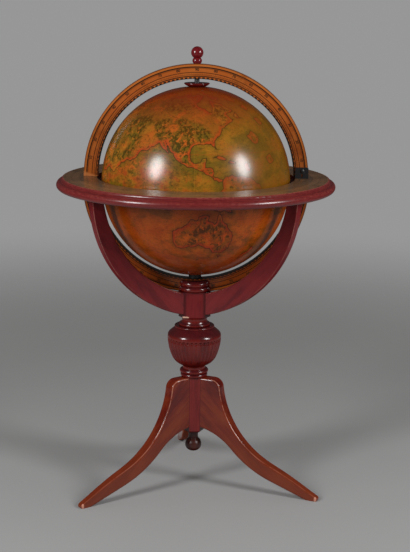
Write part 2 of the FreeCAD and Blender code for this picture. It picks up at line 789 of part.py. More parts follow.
def make_horizon_ring():
    """The broad flat ring round the sphere, with a small round over a large bead on its edge."""
    body = new_body("horizon_ring")
    bore = size.globe_radius + size.horizon_gap
    bead_root = bore + size.horizon_width - size.horizon_bead_width
    bead_top = horizon_top - size.horizon_bead_drop
    round_out = bead_root - size.horizon_step_width
    round_radius = size.horizon_round_radius
    flat = round_out - round_radius
    revolve(
        body,
        (bore, horizon_under),
        (bead_root, horizon_under),
        Bend((bore + size.horizon_width, (horizon_under + bead_top) / 2), (bead_root, bead_top)),
        (round_out, horizon_top - size.horizon_step_drop),
        (round_out, horizon_top - round_radius),
        Bend((flat + round_radius * HALF_ROOT, horizon_top - round_radius * (1 - HALF_ROOT)),
             (flat, horizon_top)),
        (bore, horizon_top))
    arm_pegs = sketch_on(body, "XY_Plane", horizon_under)
    for third in range(THIRDS):
        angle = size.arm_turn_angle + third * FULL_TURN / THIRDS
        circle(arm_pegs, arm_peg_circle * cosine(angle), arm_peg_circle * sine(angle),
               size.arm_dowel_radius + size.fit_gap)
    pocket(body, arm_pegs, size.arm_dowel_depth + size.fit_gap, along_normal=True)
    ring_pegs = sketch_on(body, "XY_Plane", horizon_under)
    for side in (-1.0, 1.0):
        circle(ring_pegs, meridian_peg * side, AXIS, size.meridian_dowel_radius + size.fit_gap)
    pocket(body, ring_pegs, size.meridian_dowel_depth + size.fit_gap, along_normal=True)
    screws = sketch_on(body, "XY_Plane", horizon_top)
    for place in hinge_screws_x:
        circle(screws, place, AXIS, size.hinge_screw_radius + size.fit_gap)
    pocket(body, screws, size.hinge_screw_length - size.hinge_plate_thick + size.fit_gap)


def make_lower_meridian():
    """The lower half ring, pegged under the horizon ring and seated in the knob."""
    body = new_body("lower_meridian")
    drop = globe_centre - horizon_under
    out = chord(lower_meridian_outer, drop)
    inside = chord(lower_meridian_inner, drop)
    sketch = outline(
        sketch_on(body, "XZ_Plane"),
        (-out, horizon_under),
        Bend((AXIS, globe_centre - lower_meridian_outer), (out, horizon_under)),
        (inside, horizon_under),
        Bend((AXIS, globe_centre - lower_meridian_inner), (-inside, horizon_under)))
    pad(body, sketch, size.meridian_thick, symmetric=True)
    floor = globe_centre - lower_meridian_inner - size.lower_pin_depth - size.fit_gap
    pin = circle(sketch_on(body, "XY_Plane", floor), AXIS, AXIS, size.spindle_radius + size.fit_gap)
    pocket(body, pin, size.lower_pin_depth * 2, along_normal=True)
    pegs = sketch_on(body, "XY_Plane", horizon_under)
    for side in (-1.0, 1.0):
        circle(pegs, meridian_peg * side, AXIS, size.meridian_dowel_radius + size.fit_gap)
    pocket(body, pegs, size.meridian_dowel_length - size.meridian_dowel_depth + size.fit_gap)


def make_meridian_dowels():
    """Two dowels in the ends of the lower half ring."""
    body = new_body("meridian_dowels", several_solids=True)
    bottom = horizon_under + size.meridian_dowel_depth - size.meridian_dowel_length
    sketch = sketch_on(body, "XY_Plane", bottom)
    for side in (-1.0, 1.0):
        circle(sketch, meridian_peg * side, AXIS, size.meridian_dowel_radius)
    pad(body, sketch, size.meridian_dowel_length)


def make_lower_pole():
    """The pin in the lower half ring that the bowl turns on, with its collar, washer and nut."""
    pin = new_body("lower_pole_pin")
    seat = globe_centre - lower_meridian_inner
    washer = lower_pad_face + size.thrust_gap
    nut = washer + size.washer_thick
    foot = seat - size.lower_pin_depth
    sketch = circle(sketch_on(pin, "XY_Plane", foot), AXIS, AXIS, size.spindle_radius)
    pad(pin, sketch, nut + size.nut_height + size.thread_length - foot)
    collar = new_body("lower_pole_collar")
    collar_seat = globe_centre - chord(lower_meridian_inner, size.pole_collar_radius) + size.fit_gap
    ring = circle(sketch_on(collar, "XY_Plane", collar_seat), AXIS, AXIS, size.pole_collar_radius)
    circle(ring, AXIS, AXIS, size.spindle_radius + size.fit_gap)
    pad(collar, ring, globe_centre - size.globe_radius - size.thrust_gap - collar_seat)
    make_washer("lower_pole_washer", washer, size.spindle_radius, size.washer_radius)
    make_nut("lower_pole_nut", nut, size.spindle_radius)


def make_hemisphere(label, way):
    """Half of the map sphere as a thin shell, with a hole at its pole; way is 1 for the upper half."""
    body = new_body(label)

    def arc_points(radius):
        pole = (pole_hole, globe_centre + chord(radius, pole_hole) * way)
        middle = (radius * HALF_ROOT, globe_centre + radius * (HALF_ROOT * way))
        edge = (chord(radius, size.split_gap / 2), globe_centre + size.split_gap * (0.5 * way))
        return pole, middle, edge

    outer_pole, outer_middle, outer_edge = arc_points(size.globe_radius)
    inner_pole, inner_middle, inner_edge = arc_points(shell_inner)
    revolve(body, outer_pole, Bend(outer_middle, outer_edge), inner_edge, Bend(inner_middle, inner_pole))


def make_rim(label, way):
    """The hoop glued inside the edge of a half sphere."""
    body = new_body(label)
    outside = shell_inner - size.glue_gap
    edge = size.split_gap * 0.5
    inside = shell_inner - size.rim_width
    deep = edge + size.rim_height
    half = (edge + deep) / 2
    revolve(
        body,
        (inside, globe_centre + edge * way),
        (chord(outside, edge), globe_centre + edge * way),
        Bend((chord(outside, half), globe_centre + half * way),
             (chord(outside, deep), globe_centre + deep * way)),
        (inside, globe_centre + deep * way))


def make_pad(label, way, face):
    """The wooden pad glued inside a pole, bored to run on the pole's spindle."""
    body = new_body(label)
    bore = size.spindle_radius + size.run_gap
    against = shell_inner - size.glue_gap
    middle = (bore + size.pad_radius) / 2
    revolve(
        body,
        (bore, face),
        (size.pad_radius, face),
        (size.pad_radius, globe_centre + chord(against, size.pad_radius) * way),
        Bend((middle, globe_centre + chord(against, middle) * way),
             (bore, globe_centre + chord(against, bore) * way)))


def make_rack():
    """Shelf, posts, deck and lifting knob that stand in the bowl."""
    shelf = new_body("rack_shelf")
    shelf_bottom = shelf_top - size.shelf_thick
    shelf_radius = chord(shell_inner, globe_centre - shelf_bottom) - size.rack_gap
    shelf_disc = circle(sketch_on(shelf, "XY_Plane", shelf_bottom), AXIS, AXIS, shelf_radius)
    pad(shelf, shelf_disc, size.shelf_thick)

    posts = new_body("rack_posts", several_solids=True)
    post_circle = shelf_radius - size.post_inset - size.post_radius
    post = circle(sketch_on(posts, "XY_Plane", shelf_top), -post_circle, AXIS, size.post_radius)
    in_thirds(posts, pad(posts, post, deck_bottom - shelf_top))

    # The deck is glued up from nine wedges, with a seam through the middle of each hole.
    deck = new_body("rack_deck", several_solids=True)
    deck_radius = chord(shell_inner, globe_centre - deck_bottom) - size.rack_gap
    pad(deck, circle(sketch_on(deck, "XY_Plane", deck_bottom), AXIS, AXIS, deck_radius), size.deck_thick)
    glass_radius = deck_radius * size.glass_share
    glass_circle = deck_radius - size.glass_inset - glass_radius
    holes = sketch_on(deck, "XY_Plane", deck_top)
    seams = sketch_on(deck, "XY_Plane", deck_top)
    seam_start, seam_end = size.rack_tenon_radius / 2, deck_radius + size.rack_gap
    seam_half = size.glue_gap / 2
    circle(holes, deck_radius * size.bottle_circle_share, AXIS, deck_radius * size.bottle_share)
    box_outline(seams, seam_start, seam_end, -seam_half, seam_half)
    for side in (-1.0, 1.0):
        along = -cosine(size.glass_spread_angle)
        aside = sine(size.glass_spread_angle) * side
        circle(holes, glass_circle * along, glass_circle * aside, glass_radius)
        outline(
            seams,
            (seam_start * along - seam_half * aside, seam_start * aside + seam_half * along),
            (seam_end * along - seam_half * aside, seam_end * aside + seam_half * along),
            (seam_end * along + seam_half * aside, seam_end * aside - seam_half * along),
            (seam_start * along + seam_half * aside, seam_start * aside - seam_half * along))
    through_deck = size.deck_thick + size.seat_gap
    in_thirds(deck, pocket(deck, holes, through_deck))
    ease(deck, size.rack_round_radius, lambda edge: edge.BoundBox.ZMin > deck_top.value - NEAR)
    bore = sketch_on(deck, "XY_Plane", deck_top)
    pocket(deck, circle(bore, AXIS, AXIS, size.rack_tenon_radius + size.glue_gap), through_deck)
    in_thirds(deck, pocket(deck, seams, through_deck))

    knob = new_body("rack_knob")
    knob_top = deck_top + size.rack_knob_height
    ball = knob_top - size.rack_knob_radius
    stem = size.rack_stem_radius
    stem_top = ball - chord(size.rack_knob_radius, stem)
    foot_top = deck_top + size.rack_foot_height
    revolve(
        knob,
        (AXIS, deck_bottom),
        (size.rack_tenon_radius, deck_bottom),
        (size.rack_tenon_radius, deck_top),
        (size.rack_foot_radius, deck_top),
        (size.rack_foot_radius, foot_top),
        Bend(((stem * 3 + size.rack_foot_radius) / 4, (foot_top * 2 + stem_top) / 3), (stem, stem_top)),
        Bend((size.rack_knob_radius, ball), (AXIS, knob_top)))


def make_hinge_bracket():
    """A folded steel bracket: a plate under the foot of the half ring and a cheek on each side."""
    body = new_body("hinge_bracket")
    plate_top = horizon_top + size.hinge_plate_thick
    top = horizon_top + size.hinge_height
    sketch = outline(
        sketch_on(body, "YZ_Plane", hinge_start),
        (-cheek_outside, horizon_top),
        (cheek_outside, horizon_top),
        (cheek_outside, top),
        (cheek_inside, top),
        (cheek_inside, plate_top),
        (-cheek_inside, plate_top),
        (-cheek_inside, top),
        (-cheek_outside, top))
    pad(body, sketch, size.hinge_length)
    ends = (hinge_start.value, hinge_end.value)
    ease(body, size.hinge_corner_radius, lambda edge: edge.BoundBox.ZMin > top.value - NEAR
         and edge.BoundBox.YLength > NEAR
         and any(abs(edge.BoundBox.XMin - end) < NEAR for end in ends))
    cut = circle(sketch_on(body, "XZ_Plane"), hinge_x, hinge_z, size.hinge_pin_radius + size.fit_gap)
    pocket(body, cut, cheek_outside * 3, symmetric=True)
    half = size.hinge_notch_width / 2
    notch = box_outline(sketch_on(body, "XZ_Plane"), hinge_x - half, hinge_x + half,
                        plate_top, hinge_z - size.hinge_pin_radius - size.hinge_notch_gap)
    pocket(body, notch, cheek_outside * 3, symmetric=True)
    holes = sketch_on(body, "XY_Plane", plate_top)
    sinks = sketch_on(body, "XY_Plane", plate_top)
    for place in hinge_screws_x:
        circle(holes, place, AXIS, size.hinge_screw_radius + size.fit_gap)
        circle(sinks, place, AXIS, size.hinge_screw_head_radius + size.fit_gap)
    pocket(body, holes, size.hinge_plate_thick + size.seat_gap)
    pocket(body, sinks, size.hinge_plate_thick / 2)


def make_hinge_pin():
    """The pin across the bracket, riveted over in a dome at both ends."""
    body = new_body("hinge_pin")
    reach = cheek_outside + size.fit_gap
    head = size.hinge_head_radius
    dome = size.hinge_head_height
    dome_radius = (head * head + dome * dome) / (2 * dome)
    tip = reach + dome
    dome_middle = tip - dome_radius + chord(dome_radius, head / 2)
    shank = size.hinge_pin_radius
    pin = body.newObject("PartDesign::Revolution", "hinge_pin_turning")
    pin.Profile = outline(
        sketch_on(body, "XY_Plane"),
        (AXIS, -tip),
        Bend((head / 2, -dome_middle), (head, -reach)),
        (shank, -reach),
        (shank, reach),
        (head, reach),
        Bend((head / 2, dome_middle), (AXIS, tip)))
    pin.ReferenceAxis = (pin.Profile[0], ["V_Axis"])
    pin.Angle = FULL_TURN
    bind(body, "Placement.Base.x", hinge_x)
    bind(body, "Placement.Base.z", hinge_z)


def make_hinge_screws():
    """Two sunk screws that hold the bracket's plate to the horizon ring."""
    body = new_body("hinge_screws", several_solids=True)
    top = horizon_top + size.hinge_plate_thick
    tip = top - size.hinge_screw_length
    shank_top = top - size.hinge_plate_thick / 2
    shank = sketch_on(body, "XY_Plane", tip)
    heads = sketch_on(body, "XY_Plane", shank_top)
    for place in hinge_screws_x:
        circle(shank, place, AXIS, size.hinge_screw_radius)
        circle(heads, place, AXIS, size.hinge_screw_head_radius)
    pad(body, shank, shank_top - tip)
    pad(body, heads, top - shank_top)


def make_upper_meridian():
    """The upper half ring: a free left foot, and a right foot rounded about the hinge pin."""
    body = new_body("upper_meridian")
    outer = upper_meridian_outer
    inner = upper_meridian_inner
    left_foot = horizon_top + size.seat_gap
    right_foot = horizon_top + foot_rise
    sketch = outline(
        sketch_on(body, "XZ_Plane"),
        (-chord(outer, size.seat_gap), left_foot),
        Bend((AXIS, horizon_top + outer), (hinge_reach, hinge_z)),
        Bend((hinge_x + hinge_swing * HALF_ROOT, hinge_z - hinge_swing * HALF_ROOT),
             (hinge_x, right_foot)),
        (chord(inner, foot_rise), right_foot),
        Bend((AXIS, horizon_top + inner), (-chord(inner, size.seat_gap), left_foot)))
    pad(body, sketch, size.meridian_thick, symmetric=True)
    pin = circle(sketch_on(body, "XZ_Plane"), hinge_x, hinge_z, size.hinge_pin_radius + size.run_gap)
    pocket(body, pin, size.meridian_thick * 2, symmetric=True)
    spindle = circle(sketch_on(body, "XY_Plane", upper_crown + size.seat_gap), AXIS, AXIS,
                     size.spindle_radius + size.fit_gap)
    pocket(body, spindle, (outer - inner) * 2)


def make_upper_pole():
    """The spindle through the crown of the half ring, with the washer and nut under the lid's pole."""
    washer_bottom = upper_pad_face - size.thrust_gap - size.washer_thick
    nut_bottom = washer_bottom - size.nut_height
    spindle = new_body("upper_pole_spindle")
    tip = nut_bottom - size.thread_length
    head = upper_crown + size.finial_socket_depth - size.fit_gap
    pad(spindle, circle(sketch_on(spindle, "XY_Plane", tip), AXIS, AXIS, size.spindle_radius), head - tip)
    make_washer("upper_pole_washer", washer_bottom, size.spindle_radius, size.washer_radius)
    make_nut("upper_pole_nut", nut_bottom, size.spindle_radius)


def make_pole_disc():
    """The turned disc on the upper pole, hollowed to the sphere and bored to run on the spindle."""
    body = new_body("upper_pole_disc")
    bore = size.spindle_radius + size.run_gap
    against = size.globe_radius + size.glue_gap
    top = globe_centre + size.globe_radius + size.pole_disc_height
    foot = size.pole_disc_foot_radius
    foot_low = globe_centre + chord(against, foot)
    lip = size.pole_disc_radius - size.pole_disc_lip / 2
    lip_low = top - size.pole_disc_lip
    middle = (bore + foot) / 2
    revolve(
        body,
        (bore, globe_centre + chord(against, bore)),
        Bend((middle, globe_centre + chord(against, middle)), (foot, foot_low)),
        Bend(((foot * 2 + lip) / 3, (foot_low + lip_low * 2) / 3), (lip, lip_low)),
        Bend((size.pole_disc_radius, (lip_low + top) / 2), (lip, top)),
        (bore, top))


def make_finial():
    """The turned finial, a bead under a ball, screwed down on the spindle."""
    body = new_body("finial")
    seat = upper_crown
    bead_top = seat + size.finial_bead_height
    neck = size.finial_neck_radius
    ball = bead_top + chord(size.finial_ball_radius, neck)
    socket = size.spindle_radius + size.fit_gap
    revolve(
        body,
        (socket, seat),
        (size.finial_seat_radius, seat),
        Bend((size.finial_bead_radius, (seat + bead_top) / 2), (neck, bead_top)),
        Bend((size.finial_ball_radius, ball), (AXIS, ball + size.finial_ball_radius)),
        (AXIS, seat + size.finial_socket_depth),
        (socket, seat + size.finial_socket_depth))


def build():
    """Make every piece, from the floor up and then the lid."""
    for third, label in enumerate(("leg_back", "leg_front_left", "leg_front_right")):
        make_leg(label, third)
    make_leg_dowels()
    make_column()
    make_pendant()
    make_column_ring()
    make_urn()
    make_tie_rod()
    make_cradle_block()
    make_cradle_knob()
    make_knob_dowels()
    for third, label in enumerate(("arm_back", "arm_left", "arm_right")):
        make_arm(label, third)
    make_arm_dowels()
    make_horizon_ring()
    make_lower_meridian()
    make_meridian_dowels()
    make_lower_pole()
    make_hemisphere("lower_hemisphere", -1)
    make_rim("lower_rim", -1)
    make_pad("lower_pole_pad", -1, lower_pad_face)
    make_rack()
    make_hinge_bracket()
    make_hinge_pin()
    make_hinge_screws()
    make_upper_meridian()
    make_upper_pole()
    make_finial()
    make_pole_disc()
    make_hemisphere("upper_hemisphere", 1)
    make_rim("upper_rim", 1)
    make_pad("upper_pole_pad", 1, upper_pad_face)
    doc.recompute()


def check():
    """Stop if any object failed or any piece has no valid solid."""
    for thing in doc.Objects:
        if "Invalid" in thing.State or "Error" in thing.State:
            raise RuntimeError("%s failed: %s" % (thing.Label, thing.State))
    for body in pieces:
        if body.Shape.isNull() or not body.Shape.isValid() or not body.Shape.Solids:
            raise RuntimeError("%s has no valid solid" % body.Label)


def write():
    """Write each piece to its own file."""
    os.makedirs("parts", exist_ok=True)
    for body in pieces:
        body.Shape.exportStep("parts/%s.step" % body.Label)
        print("%-20s %d solid(s) %10.0f mm3" % (body.Label, len(body.Shape.Solids), body.Shape.Volume))


build()
check()
write()
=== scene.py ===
"""Finishes, map, scales and studio of the globe bar, in metres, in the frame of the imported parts."""
import math
import random
from functools import reduce

import bmesh
import bpy
import numpy as np
from mathutils import Matrix, Vector, kdtree


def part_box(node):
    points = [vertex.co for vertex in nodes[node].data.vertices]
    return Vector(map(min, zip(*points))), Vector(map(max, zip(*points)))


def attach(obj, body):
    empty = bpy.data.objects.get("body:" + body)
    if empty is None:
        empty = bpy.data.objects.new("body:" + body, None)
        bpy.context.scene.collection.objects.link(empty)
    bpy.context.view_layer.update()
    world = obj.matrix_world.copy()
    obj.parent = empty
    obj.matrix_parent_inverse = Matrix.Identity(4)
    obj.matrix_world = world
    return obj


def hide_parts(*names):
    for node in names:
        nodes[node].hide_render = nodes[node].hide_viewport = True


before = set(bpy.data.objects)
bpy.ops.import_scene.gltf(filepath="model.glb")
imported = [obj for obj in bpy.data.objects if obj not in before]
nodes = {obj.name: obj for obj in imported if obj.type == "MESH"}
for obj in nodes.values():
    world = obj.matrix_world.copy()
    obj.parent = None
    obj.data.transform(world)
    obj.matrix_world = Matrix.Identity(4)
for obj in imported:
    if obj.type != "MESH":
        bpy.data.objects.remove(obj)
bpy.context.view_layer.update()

MM = 0.001
DEGREE = math.radians(1)

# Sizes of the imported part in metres, and turns of its legs and arms in degrees
GLOBE_MIDDLE = (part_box("upper_hemisphere")[0].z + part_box("lower_hemisphere")[1].z) / 2
GLOBE_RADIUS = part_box("upper_hemisphere")[1].x
SPLIT_HALF = (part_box("upper_hemisphere")[0].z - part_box("lower_hemisphere")[1].z) / 2
SHELL_THICK = 4.0 * MM
POLE_HOLE = 6.75 * MM
HORIZON_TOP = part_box("horizon_ring")[1].z
RING_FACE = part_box("upper_meridian")[1].y
LEG_TURN = 96.4
ARM_TURN = 90.0

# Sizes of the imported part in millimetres; a half ring has an inner and an outer radius
BLOCK_FACE = 47.0
COLUMN_FACE = 24.5
UPPER_RING = (207.0, 238.0)
LOWER_RING = (210.0, 241.0)
GLOBE_REACH = GLOBE_RADIUS / MM
MM_PER_DEGREE = GLOBE_REACH * DEGREE


def spoke(degrees, slope=0.0):
    """Direction away from the axis at an angle, falling at a slope."""
    angle, fall = math.radians(degrees), math.radians(slope)
    return (math.cos(angle) * math.cos(fall), math.sin(angle) * math.cos(fall), -math.sin(fall))


def thirds(turn):
    """Three angles evenly round the axis."""
    return [turn + third * 120.0 for third in range(3)]


def shade(colour, share):
    """A colour times one number."""
    return [value * share for value in colour]


# Shader signals

def joined_by(operation, kind="Math", output=0):
    """A method that joins a signal and another value in a node of maths."""
    return lambda signal, other: signal.node(kind, {0: signal, 1: other}, output, operation=operation)


class Signal:
    """A socket among a material's nodes; arithmetic on it adds Math nodes."""

    def __init__(self, tree, socket=None):
        self.tree = tree
        self.socket = socket

    def node(self, kind, inputs, output=0, **settings):
        """Add any node: its settings are set first, then its sockets get values or links."""
        made = self.tree.nodes.new("ShaderNode" + kind)
        for name, value in settings.items():
            setattr(made, name, value)
        for name, value in inputs.items():
            if isinstance(value, Signal):
                self.tree.links.new(value.socket, made.inputs[name])
            else:
                made.inputs[name].default_value = value
        return Signal(self.tree, made.outputs[output] if made.outputs else None)

    def maths(self, operation, *values):
        return self.node("Math", dict(enumerate(values)), operation=operation)

    __add__ = __radd__ = joined_by("ADD")
    __sub__ = joined_by("SUBTRACT")
    __mul__ = __rmul__ = joined_by("MULTIPLY")
    __truediv__ = joined_by("DIVIDE")
    __mod__ = joined_by("FLOORED_MODULO")
    least = joined_by("MINIMUM")
    most = joined_by("MAXIMUM")
    shifted = joined_by("ADD", "VectorMath")
    away_from = joined_by("SUBTRACT", "VectorMath")
    scaled = joined_by("MULTIPLY", "VectorMath")
    dot = joined_by("DOT_PRODUCT", "VectorMath", "Value")

    def __rsub__(self, other):
        return self.maths("SUBTRACT", other, self)

    def __abs__(self):
        return self.maths("ABSOLUTE", self)

    def wave(self, pitch):
        """A sine that repeats at a pitch."""
        return self.maths("SINE", self * (2 * math.pi / pitch))

    def step(self, low, high):
        """Rise smoothly from 0 at one value to 1 at another, in either direction."""
        return self.node("MapRange", {"Value": self, "From Min": low, "From Max": high},
                         interpolation_type="SMOOTHSTEP")

    def band(self, low, high, soft):
        """One between two values and zero outside them."""
        return self.step(low - soft, low + soft) * self.step(high + soft, high - soft)

    def line(self, spacing, half_width, stretch=1.0):
        """Lines at every multiple of a spacing; stretch turns the value into the unit of the width."""
        off = abs((self / spacing + 0.5) % 1 - 0.5) * spacing * stretch
        return off.step(half_width, half_width * 0.4)

    def parts(self):
        split = self.node("SeparateXYZ", {0: self})
        return [Signal(self.tree, output) for output in split.socket.node.outputs]

    def length(self):
        return self.node("VectorMath", {0: self}, output="Value", operation="LENGTH")

    def noise(self, scale, detail=2, roughness=0.5):
        settings = {"Vector": self, "Scale": scale, "Detail": detail, "Roughness": roughness}
        return self.node("TexNoise", settings)


class Finish(Signal):
    """One finish: a material whose signals start from the piece's own coordinates."""

    def __init__(self, name):
        self.material = bpy.data.materials.new(name)
        self.material.use_nodes = True
        super().__init__(self.material.node_tree)
        self.tree.nodes.clear()
        self.place = self.node("TexCoord", {}, output="Object")
        self.facing = self.node("TexCoord", {}, output="Normal")
        self.noise = self.place.noise
        self.colour = None

    def polar(self, x, y):
        """Distance and angle in degrees of two coordinates."""
        return self.maths("SQRT", x * x + y * y), self.maths("ARCTAN2", y, x) * math.degrees(1)

    def vector(self, x, y, z):
        return self.node("CombineXYZ", {0: x, 1: y, 2: z})

    def dial(self, x, y):
        """Distance in millimetres, angle in degrees, and millimetres in a degree there."""
        reach, degrees = self.polar(x, y)
        reach = reach / MM
        return reach, degrees, reach * DEGREE

    def bump(self, height, distance, strength):
        return self.node("Bump", {"Height": height, "Distance": distance, "Strength": strength})

    def blend(self, first, second, amount):
        """Lay a second colour over a first one by an amount from 0 to 1."""
        tones = [tone if isinstance(tone, Signal) else (*tone, 1.0) for tone in (first, second)]
        return self.node("Mix", {0: amount, 6: tones[0], 7: tones[1]}, output=2, data_type="RGBA")

    def start(self, first, second, amount):
        """Begin the finish's colour, as a blend of two."""
        self.colour = self.blend(first, second, amount)

    def lay(self, colour, amount):
        """Lay a colour over what the finish has so far."""
        self.colour = self.blend(self.colour, colour, amount)

    def done(self, **sockets):
        """Close the finish with its shader, whose sockets are named with _ for a blank."""
        inputs = {name.replace("_", " "): value for name, value in sockets.items()}
        inputs["Base Color"] = self.colour
        if "Coat Weight" in inputs:
            inputs["Specular IOR Level"] = 0.0
        shader = self.node("BsdfPrincipled", inputs)
        self.node("OutputMaterial", {"Surface": shader})
        return self.material


# Wood and metal

# Purple-dark painted shade for what faces up, tinted as a painted reflection of grey surroundings
PAINTED_TOP_SHADE = (0.034, 0.006, 0.009)
TOOL_MARK_PITCH = 1.1 * MM
THREAD_PITCH = 1.25 * MM


def grain_place(finish, along, squeeze):
    """The piece's coordinates squeezed along the grain, so that noise on them runs with it."""
    direction = Vector(along).normalized()
    lengthwise = finish.place.dot(direction) * (squeeze - 1.0)
    return finish.place.shifted(finish.vector(*(lengthwise * part for part in direction)))


def stained_wood(name, along, tones, side=None, wear_and_sheen=0.0, bare=None, low=None, chips=(), joints=None,
                 gloss=1.0, haze=0.20, turned=False, top_shade=0.0):
    """Stained and varnished wood.

    side is the flat side of a sawn piece, whose arrises are worn pale and carry a painted highlight. low is a
    tone near the floor, chips are spots worn through the stain, joints are the first turn and half width of
    three faces that end in dark lines, and top_shade is painted shade that darkens what faces up.
    """
    dark, middle, light = tones
    finish = Finish(name)
    lay, noise = finish.lay, finish.noise
    z, upward = finish.place.parts()[2], finish.facing.parts()[2]
    grain = grain_place(finish, along, 0.07)
    streaks = grain.noise(170, 4, 0.6)
    pores = grain.noise(1400, 2, 0.6).step(0.6, 0.72)
    clouds = noise(14, 3, 0.55)
    figure = grain_place(finish, along, 0.25).noise(42, 3, 0.6)
    scuff = noise(240, 4, 0.7)
    finish.start(dark, middle, streaks.step(0.26, 0.58))
    lay(light, (streaks * 0.25 + clouds * 0.35 + figure * 0.4).step(0.45, 0.62) * 0.8)
    lay(shade(dark, 0.55), figure.step(0.46, 0.34) * 0.45)
    lay(dark, pores * 0.45)
    if low:
        lay(low, z.step(0.2, 0.04) * 0.55)
    # Painted shade on what faces up
    if top_shade:
        lay(PAINTED_TOP_SHADE, upward.step(0.1, 0.6) * top_shade)
    if joints:
        first_turn, half_width = joints
        for angle in thirds(first_turn):
            off = abs(finish.place.dot(spoke(angle + 90))) / MM
            near = finish.place.dot(spoke(angle)).step(0, 0.005)
            lay(shade(dark, 0.25), off.step(half_width - 1.6, half_width - 0.5) * near * 0.65)
    worn_and_sheen = None
    # The arrises are worn pale and carry a painted highlight, weaker near the floor; chips are worn spots
    if side:
        turn = abs(finish.facing.dot(side))
        arris = turn.step(0.42, 0.62) * turn.step(0.9, 0.74)
        weaker_near_floor = z.step(0.02, 0.17) * 0.65 + 0.35
        patches = scuff * 0.45 + noise(38, 2) * 0.55
        worn_and_sheen = arris * weaker_near_floor * patches.step(0.36, 0.6) * wear_and_sheen
    for centre, radii in chips:
        away = finish.place.away_from(centre).scaled([1 / value for value in radii])
        chip = (away.length() + scuff * 0.9).step(1.55, 1.3)
        worn_and_sheen = chip if worn_and_sheen is None else worn_and_sheen.most(chip)
    coat = gloss * (1 - scuff.step(0.62, 0.78) * 0.35) * (1 - upward.step(-0.2, -0.6) * 0.9)
    if worn_and_sheen is not None:
        lay(bare, worn_and_sheen)
        coat = coat * (1 - worn_and_sheen * 0.8)
    height = pores * -0.5 + streaks * 0.35
    if turned:
        height = height + z.wave(TOOL_MARK_PITCH) * 0.05
    return finish.done(Roughness=0.30 + scuff * 0.16, Coat_Weight=coat, Coat_Roughness=haze,
                       Normal=finish.bump(height, 0.00012, 0.7))


def black_paint(name):
    """Thin black paint on folded steel, worn grey in places."""
    finish = Finish(name)
    speck = finish.noise(900, 3, 0.6)
    patches = finish.noise(120, 3, 0.6)
    worn = (speck * 0.5 + patches * 0.5).step(0.56, 0.68)
    finish.start((0.012, 0.012, 0.013), (0.09, 0.085, 0.08), worn * 0.7)
    return finish.done(Roughness=0.36 + speck * 0.2, Metallic=worn * 0.6,
                       Normal=finish.bump(speck, 0.00008, 0.5))


def bright_steel(name):
    """Turned steel with a fine thread-like finish."""
    finish = Finish(name)
    turns = finish.place.parts()[2].wave(THREAD_PITCH)
    dull = finish.noise(300, 3, 0.6)
    finish.start((0.40, 0.39, 0.37), (0.62, 0.61, 0.59), dull.step(0.35, 0.65))
    return finish.done(Metallic=1.0, Roughness=0.24 + dull * 0.2, Normal=finish.bump(turns, 0.0002, 0.5))


def bare_beech(name):
    """Unvarnished beech with its short flecks."""
    finish = Finish(name)
    flecks = grain_place(finish, (0, 0, 1), 0.15).noise(1500, 2).step(0.55, 0.7)
    clouds = finish.noise(120, 3)
    finish.start((0.50, 0.31, 0.16), (0.62, 0.42, 0.24), clouds.step(0.35, 0.65))
    finish.lay((0.33, 0.17, 0.08), flecks * 0.5)
    return finish.done(Roughness=0.6 + clouds * 0.15, Normal=finish.bump(flecks, 0.00008, 0.5))


# The sphere's map

# Sides of an outline beyond this latitude only close it round the pole
POLE_LATITUDE = -89
